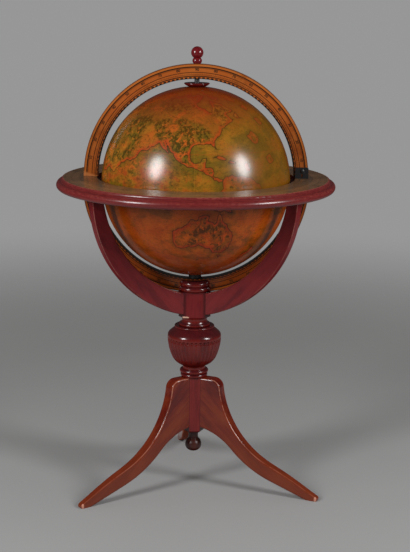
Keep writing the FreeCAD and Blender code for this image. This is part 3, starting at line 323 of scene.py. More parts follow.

# Shores as longitude, latitude and so on, drawn coarse: each side is broken up when it is used
LANDS = {
    "north_america": (
        -168, 66, -157, 71, -141, 70, -128, 70, -115, 68, -96, 68, -94, 72, -88, 69, -82, 68, -87, 64,
        -94, 60, -92, 57, -85, 55, -82, 52, -79, 52, -77, 58, -78, 62, -70, 61, -65, 59, -60, 55, -56, 52,
        -66, 50, -64, 47, -61, 46, -66, 44, -70, 42, -74, 40, -76, 36, -81, 32, -80, 26, -82, 28, -84, 30,
        -90, 29.5, -95, 29, -97, 26, -97.5, 22, -95, 18.5, -91, 18.5, -90, 21, -87, 21.5, -88, 16,
        -83.5, 15, -83.5, 11, -79.5, 9.3, -77.5, 8.5, -80, 7.5, -83, 8.5, -86, 11.5, -91, 14, -95, 16,
        -100, 17, -105.5, 20, -108, 24, -112, 28, -114.5, 31, -112.5, 27, -110.5, 23, -114.5, 26, -119, 30,
        -124, 27, -131, 24, -137, 18, -145, 16, -152, 9, -160, 12, -168, 8, -177, 13, -184, 22, -181, 31,
        -187, 40, -183, 49, -179, 55, -184, 60),
    "south_america": (
        -77.5, 8.5, -72, 12, -67, 10.6, -61, 9.5, -54, 5.5, -50, 0, -44, -2.5, -38, -4, -34.9, -7.5,
        -37.5, -12, -39.2, -17.5, -42, -22.9, -48, -26, -51, -31, -54, -34.5, -57.5, -36.5, -62, -39,
        -65, -42, -66, -46, -68.5, -51, -66, -55, -72, -53.5, -75, -48, -73.5, -41, -73, -37, -71.5, -30,
        -70.3, -20, -76, -14.5, -80, -6.5, -81, -3, -80, 0.5, -77.5, 4),
    "africa": (
        -6, 35.8, 3, 37, 10.5, 37, 11, 33.7, 15.5, 31.5, 20, 32.5, 25, 31.7, 32, 31, 35, 27.5, 37.5, 21,
        39.5, 15.5, 43, 11.8, 51, 11.8, 48, 5, 42, -1.5, 39, -7, 40.5, -15, 35, -20.5, 35.3, -24,
        32.5, -28, 27.5, -33.5, 20, -34.8, 18, -32, 15, -26, 12, -18, 13.5, -10, 9.5, -1, 9.3, 3.8, 4, 6.3,
        -4, 5.2, -8, 4.5, -13, 9, -17.3, 14.7, -16.5, 20, -13, 27.5, -9.7, 31),
    "eurasia": (
        -9.3, 38.5, -9.3, 43, -1.8, 43.4, -1.2, 46, -4.7, 48.4, 1.5, 50.5, 4.5, 52.5, 8.5, 54, 8.2, 57,
        10.6, 57.6, 10.8, 54.5, 19, 54.5, 21, 57, 24, 57.5, 23.5, 59.3, 30, 60, 22.5, 60, 21.5, 63,
        25.3, 65.3, 22, 65.8, 17.3, 61.5, 16.5, 57, 12.8, 55.6, 11, 59, 7, 58, 5, 60.5, 10, 64, 15, 68.3,
        25, 71, 31, 70, 41, 67, 38, 64.5, 44, 66.3, 44, 68, 54, 68.5, 60, 69.5, 68, 68.5, 72, 72.5, 80, 73,
        98, 76, 105, 77.5, 113, 74, 128, 72.5, 140, 72.5, 160, 70, 172, 70, 190, 66, 178, 62.5, 170, 60,
        163, 60, 161.5, 55.5, 156.7, 51, 156, 57, 163, 62, 155, 59.5, 143, 59, 135, 54.5, 141, 52.5,
        140, 48, 135, 43.5, 129.5, 41, 127.5, 39.5, 129.3, 36, 126.5, 34.5, 125, 38.5, 118, 38.5, 122, 37,
        119.5, 35, 121.8, 31, 118.5, 24.5, 114, 22.4, 108.5, 21.5, 106, 19, 109, 12.5, 105, 8.8,
        100.5, 13.3, 100, 9, 103.5, 1.5, 98.3, 9, 97, 16.7, 94.3, 16, 91.5, 22.5, 87, 21.3, 82, 16.5,
        80, 13, 77.5, 8.2, 74.5, 14, 72.8, 19.5, 67, 25, 61.5, 25.2, 57, 26.5, 51, 28, 48.5, 30, 50.5, 26,
        51.5, 24.3, 56.3, 26, 59.7, 22.5, 55, 17.3, 45, 12.8, 43, 14.5, 39, 21, 35, 28, 34.5, 31.5,
        36, 36.5, 30.5, 36.5, 27, 37, 26.5, 40, 29, 41, 35, 42, 41.5, 41.5, 37.5, 45, 39, 47, 34, 46,
        30.7, 46.4, 28, 43.5, 26.3, 40.7, 23.5, 40.2, 24, 37.8, 22.5, 36.6, 19.5, 41.5, 15, 44.5,
        12.3, 45.3, 14, 42.5, 18.4, 40, 16, 38, 12.3, 41.7, 8.8, 44.4, 3.2, 43.2, 0, 39.5, -2, 36.8,
        -5.6, 36.1, -9, 37),
    "australia": (
        113.7, -22.5, 115, -34, 118, -35, 124, -33, 131, -31.5, 135.8, -34.8, 138.2, -34.5, 140.5, -38,
        146.3, -39, 150, -37, 153.2, -30, 153, -25.5, 149, -20.5, 145.8, -16.5, 142.5, -10.8, 141.5, -14,
        140.2, -17.6, 135.8, -15, 136.7, -12, 132.5, -11.5, 129.5, -14.9, 126, -14, 122.2, -18),
    "antarctica": (
        -180, -78, -150, -77, -120, -74, -100, -73, -75, -73, -60, -64, -60, -74, -35, -78, -15, -72,
        20, -70, 55, -67, 90, -66.5, 120, -66.5, 150, -68.5, 170, -72, 180, -78, 180, -91, -180, -91),
    "greenland": (
        -73, 78, -60, 82, -35, 83.5, -18, 80, -20, 74, -25, 70.5, -37, 65.7, -43.5, 60, -50, 62.5,
        -53.5, 67, -54.5, 70, -60, 75.8),
    "new_guinea": (
        131, -0.8, 135, -3.3, 141, -2.6, 147.5, -6.2, 150.5, -10.5, 146, -9, 141, -9.2, 138, -8.2, 133, -4),
    "borneo": (109, 1.5, 113, 3.2, 117, 7, 119, 5, 117.5, 1, 116, -4, 110.2, -2.8),
    "sumatra": (95.3, 5.6, 100.5, 2.2, 106, -3, 105.7, -5.8, 101, -2.5),
    "java": (105.3, -6.3, 114.5, -7.8, 114.3, -8.6, 106.5, -7.4),
    "celebes": (119.5, 1, 124.8, 1.5, 121.5, -1, 122.5, -4.5, 120, -5.5),
    "madagascar": (49.3, -12, 50.4, -15.8, 47, -25, 43.8, -23, 44.5, -16.5),
    "japan": (
        130, 31.5, 136, 33.7, 140.7, 35.5, 141.8, 40, 145.3, 43.8, 141.6, 45.3, 139.8, 42, 139.5, 38.5,
        136, 36.5, 131, 34.3),
    "britain": (-5.5, 50, 1.3, 51.2, 0.2, 53, -2, 56.5, -3.2, 58.6, -5.5, 58, -4.6, 54.8, -4.8, 52.5),
    "ireland": (-10, 52, -6.2, 52.3, -6, 55, -8.5, 54.8),
    "iceland": (-24, 65.5, -18, 66.3, -13.6, 65, -18.5, 63.5),
    "cuba": (-84.8, 22, -80, 23, -74.5, 20.2, -77.5, 20),
    "hispaniola": (-74.3, 18.4, -72.5, 19.8, -68.6, 18.6, -71.2, 17.9),
    "new_zealand": (
        172.8, -34.6, 178.3, -37.8, 175.2, -41.5, 168.5, -46.5, 166.7, -45.8, 172, -41, 174, -39.5),
    "tasmania": (144.8, -40.8, 148.2, -40.9, 147.2, -43.5),
    "ceylon": (80, 9.7, 81.8, 7, 80.3, 6),
    "philippines": (120.8, 18.4, 122.3, 16, 125.5, 9, 125.5, 6, 122, 7.5, 120.5, 14),
    "baffin": (-88, 73.5, -78, 73.5, -70, 70, -62, 66, -66, 62.5, -73, 64.5, -78, 70),
    "victoria": (-117, 73, -105, 73, -102, 69, -113, 69),
    "ellesmere": (-90, 77, -75, 79, -62, 82, -85, 83, -95, 80),
    "newfoundland": (-59.3, 47.7, -53, 46.7, -55.5, 51.5),
    "northern_isle": (-42, 57, -33, 58, -31, 53.5, -37, 52),
    "western_isle": (-56, 34, -50, 37.5, -46, 34, -48, 29, -53, 29.5),
    "middle_isle": (-38, 45, -32, 46, -30, 41, -36, 40),
    "southern_isle": (-45, 20, -40, 22, -37, 18, -42, 16),
    "windward_isles": (-63, 18, -60, 17.5, -59, 13, -62, 12.5),
}


def crooked_shore(outline, chance):
    """Break each side of an outline into crooked steps."""
    points = []
    for first, last in zip(outline, outline[1:] + outline[:1]):
        side = [first, last]
        if min(first[1], last[1]) > POLE_LATITUDE:
            for _ in range(3):
                finer = [side[0]]
                for (x0, y0), (x1, y1) in zip(side, side[1:]):
                    sway = chance.uniform(-0.17, 0.17)
                    finer.append(((x0 + x1) / 2 - (y1 - y0) * sway, (y0 + y1) / 2 + (x1 - x0) * sway))
                    finer.append((x1, y1))
                side = finer
        points += side[:-1]
    return np.array(points)


def on_unit_sphere(longitude, latitude):
    east, north = np.radians(longitude), np.radians(latitude)
    return np.stack((np.cos(north) * np.cos(east), np.cos(north) * np.sin(east), np.sin(north)), axis=-1)


def inside_shore(shore, longitude, latitude):
    """Which places lie inside a closed outline."""
    inside = np.zeros(len(longitude), bool)
    for (x0, y0), (x1, y1) in zip(shore, np.roll(shore, -1, axis=0)):
        if y0 != y1:
            crossing = (y0 > latitude) != (y1 > latitude)
            inside ^= crossing & (longitude < (x1 - x0) * (latitude - y0) / (y1 - y0) + x0)
    return inside


def shore_distance(longitude, latitude):
    """Millimetres from the nearest shore, above zero on land."""
    chance = random.Random(11)
    places = on_unit_sphere(longitude, latitude)
    land = np.zeros(len(longitude), bool)
    starts, ends = [], []
    for outline in LANDS.values():
        shore = crooked_shore(list(zip(outline[::2], outline[1::2])), chance)
        for wrap in (-360.0, 0.0, 360.0):
            land |= inside_shore(shore, longitude + wrap, latitude)
        follow = np.roll(shore, -1, axis=0)
        real = np.minimum(shore[:, 1], follow[:, 1]) > POLE_LATITUDE
        starts.append(on_unit_sphere(*shore[real].T))
        ends.append(on_unit_sphere(*follow[real].T))
    starts, ends = np.concatenate(starts), np.concatenate(ends)
    middles = kdtree.KDTree(len(starts))
    for index, middle in enumerate((starts + ends) / 2):
        middles.insert(middle, index)
    middles.balance()
    nearest = np.array([[found[1] for found in middles.find_n(place, 5)] for place in places])
    best = np.full(len(places), 9.0)
    for column in nearest.T:
        start, run = starts[column], ends[column] - starts[column]
        share = ((places - start) * run).sum(1) / np.maximum((run * run).sum(1), 1e-12)
        foot = start + run * np.clip(share, 0, 1)[:, None]
        best = np.minimum(best, np.linalg.norm(places - foot, axis=1))
    return best * GLOBE_REACH * np.where(land, 1.0, -1.0)


def wind_rose(finish, out, sea, turn, latitude, tones):
    """Print a star with hoops on the map, and its long rays over the seas."""
    ink, red, pale = tones
    middle = on_unit_sphere(turn, latitude)
    east = np.array(spoke(turn + 90.0))
    span, bearing = finish.polar(out.dot(np.cross(middle, east)), out.dot(east))
    span = span * GLOBE_REACH
    front = out.dot(middle).step(0, 0.1)
    ray = bearing.line(22.5, 0.2, span * DEGREE) * span.step(150, 60) * span.step(12, 13)
    finish.lay(ink, ray * front * sea * 0.36)
    quarter = abs((bearing / 45.0 + 0.5) % 1 - 0.5) * 2.0
    star = (span + quarter * 13.0 - 11.5).step(0.4, -0.4) * front
    half = ((bearing / 22.5) % 2).step(0.95, 1.05)
    finish.lay(finish.blend(red, pale, half), star * 0.85)
    hoop = span.band(6.9, 7.4, 0.2).most(span.band(12, 12.4, 0.2)) * front
    finish.lay(ink, hoop * 0.6)


def map_paper(name, facing_longitude, paper, roses, pole_browning, side_shade, side_turn, worked_turn, gloss):
    """Varnished map paper: seas, washed lands, shores, a net of degrees and wind roses.

    The seas are busier on the side at worked_turn. The paper is browner towards the pole, and painted shade
    darkens the side at side_turn.
    """
    sea_pale, sea_deep, wash_green, land_pale, land_orange, land_red, ink = paper
    finish = Finish(name)
    lay, noise = finish.lay, finish.noise
    shore = finish.node("Attribute", {}, output="Fac", attribute_name="shore")
    out = finish.place.away_from((0, 0, GLOBE_MIDDLE)).scaled([1 / GLOBE_RADIUS] * 3)
    x, y, z = out.parts()
    latitude = finish.maths("ARCSINE", z.least(1.0).most(-1.0)) * math.degrees(1)
    longitude = finish.polar(x, y)[1] + (90.0 + facing_longitude)
    mm_eastward = finish.maths("SQRT", (1 - z * z).most(0.0)) * MM_PER_DEGREE
    land = shore.step(-0.15, 0.15)
    sea = 1 - land
    broad = noise(9, 3, 0.6)
    mottle = noise(34, 5, 0.65)
    fibre = noise(420, 3, 0.7)
    sketchy = noise(95, 4, 0.6)
    stains = noise(16, 6, 0.7)
    flecks = noise(62, 3, 0.62)
    drift = finish.place.scaled((1, 1, 1.6)).noise(13, 5, 0.62)
    worked = out.dot(spoke(worked_turn)).step(-0.1, 0.55)
    # Seas in ochre and olive clouds, greener and darker near the shores
    finish.start(sea_deep, sea_pale, (broad * 0.4 + mottle * 0.6).step(0.38, 0.6))
    lay(wash_green, drift.step(0.5, 0.6) * 0.72)
    lay(land_orange, drift.step(0.51, 0.4) * (0.35 + worked * 0.5))
    lay(wash_green, flecks.step(0.54, 0.62) * (0.25 + worked * 0.45))
    lay(land_red, flecks.step(0.47, 0.36) * (0.1 + worked * 0.45))
    lay(shade(wash_green, 0.4), sketchy.step(0.56, 0.64) * (0.15 + worked * 0.55))
    lay(shade(land_red, 0.45), worked * mottle.step(0.4, 0.58) * 0.42)
    lay(wash_green, shore.step(-13, -0.5) * sea * mottle.step(0.36, 0.6) * 0.6)
    strokes = (latitude + sketchy * 0.9).line(0.62, 0.32, MM_PER_DEGREE) * shore.step(-5.5, -3)
    lay(ink, strokes * sea * 0.42)
    ripples = (latitude + mottle * 5).line(2.1, 0.3, MM_PER_DEGREE) * fibre.step(0.46, 0.56)
    lay(wash_green, ripples * sea * broad.step(0.42, 0.58) * 0.7)
    seas = finish.colour
    # Lands in washes of several tints, with a stronger one along the shore
    bent = finish.place.shifted(finish.vector(sketchy * 0.02, mottle * 0.02, fibre * 0.002))
    tint = finish.node("TexVoronoi", {"Vector": bent, "Scale": 17.0}, output="Color")
    first, second, third = tint.parts()
    finish.start(land_pale, land_orange, first.step(0.3, 0.75))
    lay(wash_green, second.step(0.5, 0.85) * 0.6)
    lay(land_red, third.step(0.62, 0.92) * 0.6)
    lay(land_orange, mottle.step(0.48, 0.62) * 0.6)
    lay(wash_green, drift.step(0.52, 0.62) * sketchy.step(0.4, 0.56) * 0.75)
    lay(land_red, shore.step(11, 2) * mottle.step(0.36, 0.5) * 0.8)
    # Chains of hills in green, and mole hills drawn with a dark side
    dark_green = shade(wash_green, 0.36)
    chain = abs(noise(9.5, 2, 0.4) - 0.5).step(0.075, 0.025) * shore.step(2, 7)
    lay(wash_green, chain * sketchy.step(0.38, 0.54) * 0.75)
    slopes = finish.place.scaled((1, 1, 0.5)).noise(165, 3, 0.6).step(0.47, 0.56)
    lay(dark_green, chain * slopes * 0.85)
    spot = finish.node("TexVoronoi", {"Vector": finish.place, "Scale": 78.0}, output="Position")
    from_spot = finish.place.away_from(spot)
    height_off = from_spot.parts()[2] / MM
    spread = from_spot.length() / MM + fibre * 1.6
    hilly = (broad * 0.5 + drift * 0.5).step(0.45, 0.55) * shore.step(2, 5)
    lay(wash_green, spread.step(6.4, 4) * height_off.step(-1.5, 0.5) * hilly * 0.65)
    arch = spread.band(4.2, 6, 0.5) * height_off.step(-1, 0.6)
    lay(dark_green, arch * hilly * 0.85)
    river = abs(noise(27, 4, 0.6) - 0.5).step(0.0085, 0.003)
    lay(ink, river * 0.5)
    finish.start(seas, finish.colour, land)
    # Engraved shading all over in broken strokes, and the shore lines
    etched = finish.place.scaled((1, 1, 2.2)).noise(130, 4, 0.7).step(0.54, 0.63)
    lay(shade(wash_green, 0.35), etched * (0.05 + drift * 0.65 + worked * 0.25))
    swirls = (latitude + mottle * 26 + drift * 30).line(3.4, 0.95, MM_PER_DEGREE)
    dense = sketchy.step(0.45, 0.56) * (broad * 0.4 + stains * 0.6).step(0.44, 0.56)
    lay(ink, swirls * dense * 0.55)
    lay(ink, abs(shore).step(1.15, 0.35) * (0.6 + fibre * 0.5))
    # Degrees, with the tropics and the polar circles in red, and wind roses
    net = longitude.line(15, 0.22, mm_eastward).most(latitude.line(15, 0.22, MM_PER_DEGREE))
    lay(ink, net * 0.34)
    for circle in (23.5, 66.5):
        off = abs(abs(latitude) - circle) * MM_PER_DEGREE
        lay(land_red, off.band(0.55, 1, 0.2) * 0.55)
    for rose_longitude, rose_latitude in roses:
        turn = rose_longitude - facing_longitude - 90.0
        wind_rose(finish, out, sea, turn, rose_latitude, (ink, land_red, sea_pale))
    # Seams between the gores, then browner towards the pole, painted shade on one side, stains and specks
    seam = (longitude + 4.0).line(30, 0.35, mm_eastward)
    lay(ink, seam * 0.34)
    lap = (longitude + 4.35).line(30, 0.55, mm_eastward)
    lay(shade(sea_pale, 1.25), lap * (1 - seam) * 0.4)
    # Browner and darker towards the pole
    lay(shade(land_red, 0.48), abs(latitude).step(30, 70) * pole_browning)
    # Painted shade darkens the side at side_turn
    lay(shade(sea_deep, 0.52), out.dot(spoke(side_turn)).step(0.35, 0.95) * side_shade)
    lay(shade(sea_deep, 0.35), stains.step(0.53, 0.72) * 0.38)
    lay(ink, noise(520, 2).step(0.7, 0.76) * 0.5)
    height = fibre * 0.25 + seam * -0.8 + mottle * 0.5
    return finish.done(Roughness=0.34 + mottle * 0.12, Coat_Weight=gloss * (0.85 + stains * 0.15),
                       Coat_Roughness=0.23, Normal=finish.bump(height, 0.00016, 0.6))


def lining(name):
    """The inside of the sphere: brown paper with soft wrinkles."""
    finish = Finish(name)
    clouds = finish.noise(18, 4, 0.6)
    creases = abs(finish.noise(30, 3, 0.6) - 0.5)
    finish.start((0.16, 0.055, 0.024), (0.28, 0.12, 0.055), clouds.step(0.35, 0.65))
    finish.lay((0.07, 0.022, 0.012), creases.step(0.02, 0) * 0.5)
    height = creases.step(0.05, 0)
    return finish.done(Roughness=0.55 + clouds * 0.2, Normal=finish.bump(height, 0.0003, 0.5))


# Printed scales

def ring_scale(name, middle, ring, tones, band_on_sides=False, bare_foot=None):
    """The degree scale on the flat sides of a half ring, with a black inner and a red outer edge.

    The black band follows the whole ring, or only the sides of it. bare_foot is the tone of a worn foot.
    """
    face, margin, ink, edge_wood = tones
    inner, outer = ring
    finish = Finish(name)
    lay, noise = finish.lay, finish.noise
    x, _, z = finish.place.parts()
    rise = z - middle
    reach, degrees, arc = finish.dial(x, rise)
    clouds = noise(26, 4, 0.6)
    fibre = noise(500, 3, 0.7)
    finish.start(face, margin, clouds.step(0.4, 0.66) * 0.55)
    lay(margin, reach.step(outer - 6.4, outer - 5.6) * 0.8)
    lay(shade(face, 0.5), reach.band(outer - 10, outer - 6.4, 0.8) * 0.7)
    for radius, half, weight in ((outer - 6.4, 1.15, 1.0), (outer - 0.9, 0.55, 0.8),
                                 (inner + 13.4, 0.65, 1.0), (inner + 8.6, 0.40, 0.8),
                                 (inner + 5.4, 0.95, 1.0), (inner, 1.0, 1.0)):
        lay(ink, reach.band(radius - half, radius + half, 0.25) * weight)
    ticks = degrees.line(1, 0.28, arc) * reach.band(inner + 8.6, inner + 11.4, 0.2)
    long_ticks = degrees.line(5, 0.36, arc) * reach.band(inner + 8.6, inner + 13.4, 0.2)
    lay(ink, ticks.most(long_ticks) * 0.8)
    black_band = reach.band(inner - 1, inner + 2.6, 0.3)
    if band_on_sides:
        black_band = black_band * abs(degrees).step(62, 38).most(abs(degrees).step(118, 142))
    lay(ink, black_band)
    dashes = ((degrees / 2.5) % 1).band(0.2, 0.8, 0.03) * reach.band(inner + 0.2, inner + 3.7, 0.2)
    lay(ink, dashes)
    stain = noise(14, 5, 0.7).step(0.53, 0.7)
    lay(shade(face, 0.4), stain * 0.55)
    if bare_foot:
        lay(bare_foot, (rise + x * 0.35).step(-0.07, -0.076) * 0.85)
    scale = finish.colour
    streaks = finish.place.scaled((1, 0.2, 1)).noise(300, 4, 0.6)
    halfway = (inner + outer) / 2
    finish.start(edge_wood, shade(edge_wood, 0.5), streaks.step(0.35, 0.65))
    lay(ink, reach.step(halfway + 1, halfway - 1))
    lay(scale, abs(finish.facing.parts()[1]).step(0.6, 0.8))
    return finish.done(Roughness=0.34 + fibre * 0.14, Coat_Weight=0.9 - stain * 0.2,
                       Coat_Roughness=0.15, Normal=finish.bump(fibre * 0.4 + clouds, 0.0001, 0.5))


# The horizon's rings, in millimetres, and its marks: spacing in degrees, half width, first and last radius
HORIZON_RINGS = (213.0, 219.0, 221.0, 231.0, 246.0, 248.0, 262.0, 264.0, 276.0, 277.4)
HORIZON_MARKS = ((1.0, 0.25, 213.0, 219.0), (10.0, 0.30, 213.0, 231.0), (30.0, 0.45, 213.0, 276.0),
                 (360.0 / 365.0, 0.22, 262.0, 267.0))
HORIZON_PAPER_END = 281.0


def horizon_paper(name, tones, wood):
    """The print on the horizon ring, faded under varnish, and the red moulding round it."""
    pale, olive, grey, ink = tones
    dark, red, bright = wood
    finish = Finish(name)
    lay, noise = finish.lay, finish.noise
    x, y, z = finish.place.parts()
    upward = finish.facing.parts()[2]
    reach, degrees, arc = finish.dial(x, y)
    clouds = noise(17, 5, 0.65)
    fibre = noise(450, 3, 0.7)
    faded = noise(60, 4, 0.65).step(0.3, 0.62)
    stain = noise(11, 6, 0.72).step(0.52, 0.7)
    scuff = noise(190, 4, 0.7)
    finish.start(olive, pale, clouds.step(0.36, 0.64))
    month = ((degrees / 30) % 1 * 7.0 + 0.4) % 1
    lay(grey, reach.band(231, 246, 0.4) * (0.35 + month * 0.4))
    lay(pale, reach.band(248, 262, 0.4) * 0.35)
    marks = [reach.band(radius - 0.22, radius + 0.22, 0.2) for radius in HORIZON_RINGS]
    marks += [degrees.line(spacing, half, arc) * reach.band(low, high, 0.2)
              for spacing, half, low, high in HORIZON_MARKS]
    marks.append(((degrees / 10) % 1).band(0, 0.5, 0.004) * reach.band(219, 221, 0.1))
    lay(ink, reduce(Signal.most, marks) * (0.25 + faded * 0.55))
    lay(shade(grey, 0.45), stain * 0.6)
    paper = finish.colour
    grain = finish.vector(degrees * 0.06, z * 60.0, reach * 0.06).noise(6, 4, 0.6)
    finish.start(dark, red, grain.step(0.32, 0.66))
    proud = upward.band(0.25, 0.8, 0.2) * reach.step(278, 284)
    lay(bright, proud * scuff.step(0.48, 0.66) * 0.22)
    arris = reach.band(280.2, 282.6, 0.5) * (0.35 + scuff.step(0.4, 0.6) * 0.65)
    lay(bright, arris * upward.step(0.3, 0.6) * 0.6)
    top = upward.step(0.95, 0.985) * reach.step(HORIZON_PAPER_END, HORIZON_PAPER_END - 0.8)
    lay(paper, top)
    return finish.done(Roughness=0.33 + fibre * 0.14 + top * 0.06, Coat_Weight=0.95 - stain * 0.35 * top,
                       Coat_Roughness=0.26, Normal=finish.bump(fibre * 0.5 + clouds * 0.6, 0.00008, 0.4))


def printing_ink(name):
    """Black-brown ink of the numbers on the scales."""
    finish = Finish(name)
    thin = finish.noise(900, 2)
    finish.start((0.022, 0.011, 0.006), (0.06, 0.028, 0.012), thin)
    return finish.done(Roughness=0.35 + thin * 0.1, Coat_Weight=0.9, Coat_Roughness=0.15)


# Meshes

def arc_through(first, via, last, count):
    """Points of an arc by its ends and a point on it, without the first end."""
    (ax, ay), (bx, by), (cx, cy) = first, via, last
    aa, bb, cc = (x * x + y * y for x, y in (first, via, last))
    double_area = 2 * (ax * (by - cy) + bx * (cy - ay) + cx * (ay - by))
    middle_x = (aa * (by - cy) + bb * (cy - ay) + cc * (ay - by)) / double_area
    middle_y = (aa * (cx - bx) + bb * (ax - cx) + cc * (bx - ax)) / double_area
    start = math.atan2(ay - middle_y, ax - middle_x)
    passing = math.remainder(math.atan2(by - middle_y, bx - middle_x) - start, 2 * math.pi)
    sweep = math.remainder(math.atan2(cy - middle_y, cx - middle_x) - start, 2 * math.pi)
    if sweep * passing < 0 or abs(sweep) < abs(passing):
        sweep -= math.copysign(2 * math.pi, sweep)
    radius = math.hypot(ax - middle_x, ay - middle_y)
    angles = [start + sweep * step / count for step in range(1, count + 1)]
    return [(middle_x + radius * math.cos(angle), middle_y + radius * math.sin(angle)) for angle in angles]


def arc_leaving(first, heading, last, count):
    """Points of an arc that leaves a point at a heading and ends at another, and the heading there."""
    dx, dy = last[0] - first[0], last[1] - first[1]
    bearing = math.atan2(dy, dx)
    half = math.remainder(bearing - heading, 2 * math.pi) / 2
    reach = math.hypot(dx, dy) / (2 * math.cos(half))
    via = (first[0] + reach * math.cos(heading + half), first[1] + reach * math.sin(heading + half))
    return arc_through(first, via, last, count), 2 * bearing - heading


def straight(first, last, count):
    """Points of a straight line, without its first end."""
    (x, y), (dx, dy) = first, (last[0] - first[0], last[1] - first[1])
    return [(x + dx * step / count, y + dy * step / count) for step in range(1, count + 1)]


def turned_mesh(name, finish, profile, count, shape=None, unit=MM):
    """A closed turned mesh from a profile of radius and height, in a unit; shape may change the radii."""
    angles = np.linspace(0.0, 2 * math.pi, count, endpoint=False)
    radius, height = (np.array(values)[:, None] * unit for values in zip(*profile))
    radii = shape(radius, height, angles[None, :]) if shape else radius + 0.0 * angles
    heights = height + 0.0 * angles
    points = np.stack((radii * np.cos(angles), radii * np.sin(angles), heights), axis=-1).reshape(-1, 3)
    faces = []
    for row in range(len(profile)):
        here, after = row * count, (row + 1) % len(profile) * count
        for column in range(count):
            beside = (column + 1) % count
            faces.append((here + column, here + beside, after + beside, after + column))
    mesh = bpy.data.meshes.new(name)
    mesh.from_pydata(points.tolist(), [], faces)
    mesh.shade_smooth()
    mesh.set_sharp_from_angle(angle=math.radians(32))
    mesh.materials.append(finish)
    return mesh, points


def put(name, data):
    """Put a new object in the scene."""
    made = bpy.data.objects.new(name, data)
    bpy.context.scene.collection.objects.link(made)
    return made


def show(name, mesh, body, slot, *replaced):
    """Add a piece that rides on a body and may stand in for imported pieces."""
    piece = put(name, mesh)
    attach(piece, body)
    if replaced:
        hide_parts(*replaced)


def reshaped(node, move, finish):
    """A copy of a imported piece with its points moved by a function."""
    mesh = nodes[node].data.copy()
    mesh.transform(nodes[node].matrix_world)
    places = np.empty(len(mesh.vertices) * 3)
    mesh.vertices.foreach_get("co", places)
    mesh.vertices.foreach_set("co", move(places.reshape(-1, 3)).ravel())
    mesh.update()
    mesh.materials.clear()
    mesh.materials.append(finish)
    return mesh


# The legs' taper: its start and end, in metres from the axis, and the shares of width and height it takes
LEG_KNEE = 0.090
LEG_TOE = 0.290
TOE_NARROWING = 0.42
TOE_DROP = 0.30


def make_leg(name, angle, finish):
    """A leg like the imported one, made narrower from the knee to the toe and lower at the tip."""
    outward, across = np.array(spoke(angle)), np.array(spoke(angle + 90))

    def taper(places):
        share = np.clip((places @ outward - LEG_KNEE) / (LEG_TOE - LEG_KNEE), 0.0, 1.0)
        places = places - np.outer(places @ across * TOE_NARROWING * share, across)
        places[:, 2] *= 1.0 - TOE_DROP * share ** 6
        return places

    show(name + "_tapered", reshaped(name, taper, finish), "base", "leg_wood", name)


# The slotted knob, in millimetres, and how much wider its beads are
KNOB_CORE = 24.0
SLOT_HALF = 8.2
SLACK = 0.1
KNOB_WIDENING = 1.12


def make_knob(finish):
    """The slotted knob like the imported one, with its beads wider and its slot and spigot as they are."""
    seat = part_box("cradle_block")[1].z

    def widen(places):
        x, y, z = places.T
        reach = np.hypot(x, y)
        wall = np.abs(y) < (SLOT_HALF + SLACK) * MM
        along = np.sqrt(np.maximum((reach * KNOB_WIDENING) ** 2 - y ** 2, 0.0))
        wider = np.stack((np.where(wall, np.sign(x) * along, x * KNOB_WIDENING),
                          np.where(wall, y, y * KNOB_WIDENING), z), axis=1)
        bead = (reach > KNOB_CORE * MM) & (z > seat - SLACK * MM)
        return np.where(bead[:, None], wider, places)

    knob = reshaped("cradle_knob", widen, finish)
    show("cradle_knob_full", knob, "base", "turned_wood", "cradle_knob")


# The urn, in millimetres, with heights from the floor; a notch deepens each flute near its top, by a share
URN_FLUTES = 40
FLUTE_DEPTH = 1.5
FLUTE_TOP = 331.4
FLUTE_ROUND = 2.6
FLUTE_START = 1.6
FLUTE_FOOT = 277.0
FLUTE_FADE = 26.0
NOTCH_DEPTH = 0.9
NOTCH_DROP = 4.5
NOTCH_SPREAD = 2.6
BORE_LIMIT = 20.0
URN_BORE = 5.5


def fluted(radius, height, angles):
    """Cut hollow flutes in the urn's bowl, round at the top and running out at the foot."""
    across = (angles * URN_FLUTES / (2 * math.pi)) % 1.0 * 2.0 - 1.0
    hollow = 1.0 - across ** 2
    level = height / MM
    top = np.clip((FLUTE_TOP - level - FLUTE_ROUND * across ** 2) / FLUTE_START, 0.0, 1.0)
    foot = np.clip((level - FLUTE_FOOT) / FLUTE_FADE, 0.0, 1.0)
    outside = radius > BORE_LIMIT * MM
    notch = 1.0 + NOTCH_DEPTH * np.exp(-((level - FLUTE_TOP + NOTCH_DROP) / NOTCH_SPREAD) ** 2)
    depth = FLUTE_DEPTH * MM * notch * hollow * top * top * (3 - 2 * top) * np.sqrt(foot)
    return radius - depth * outside


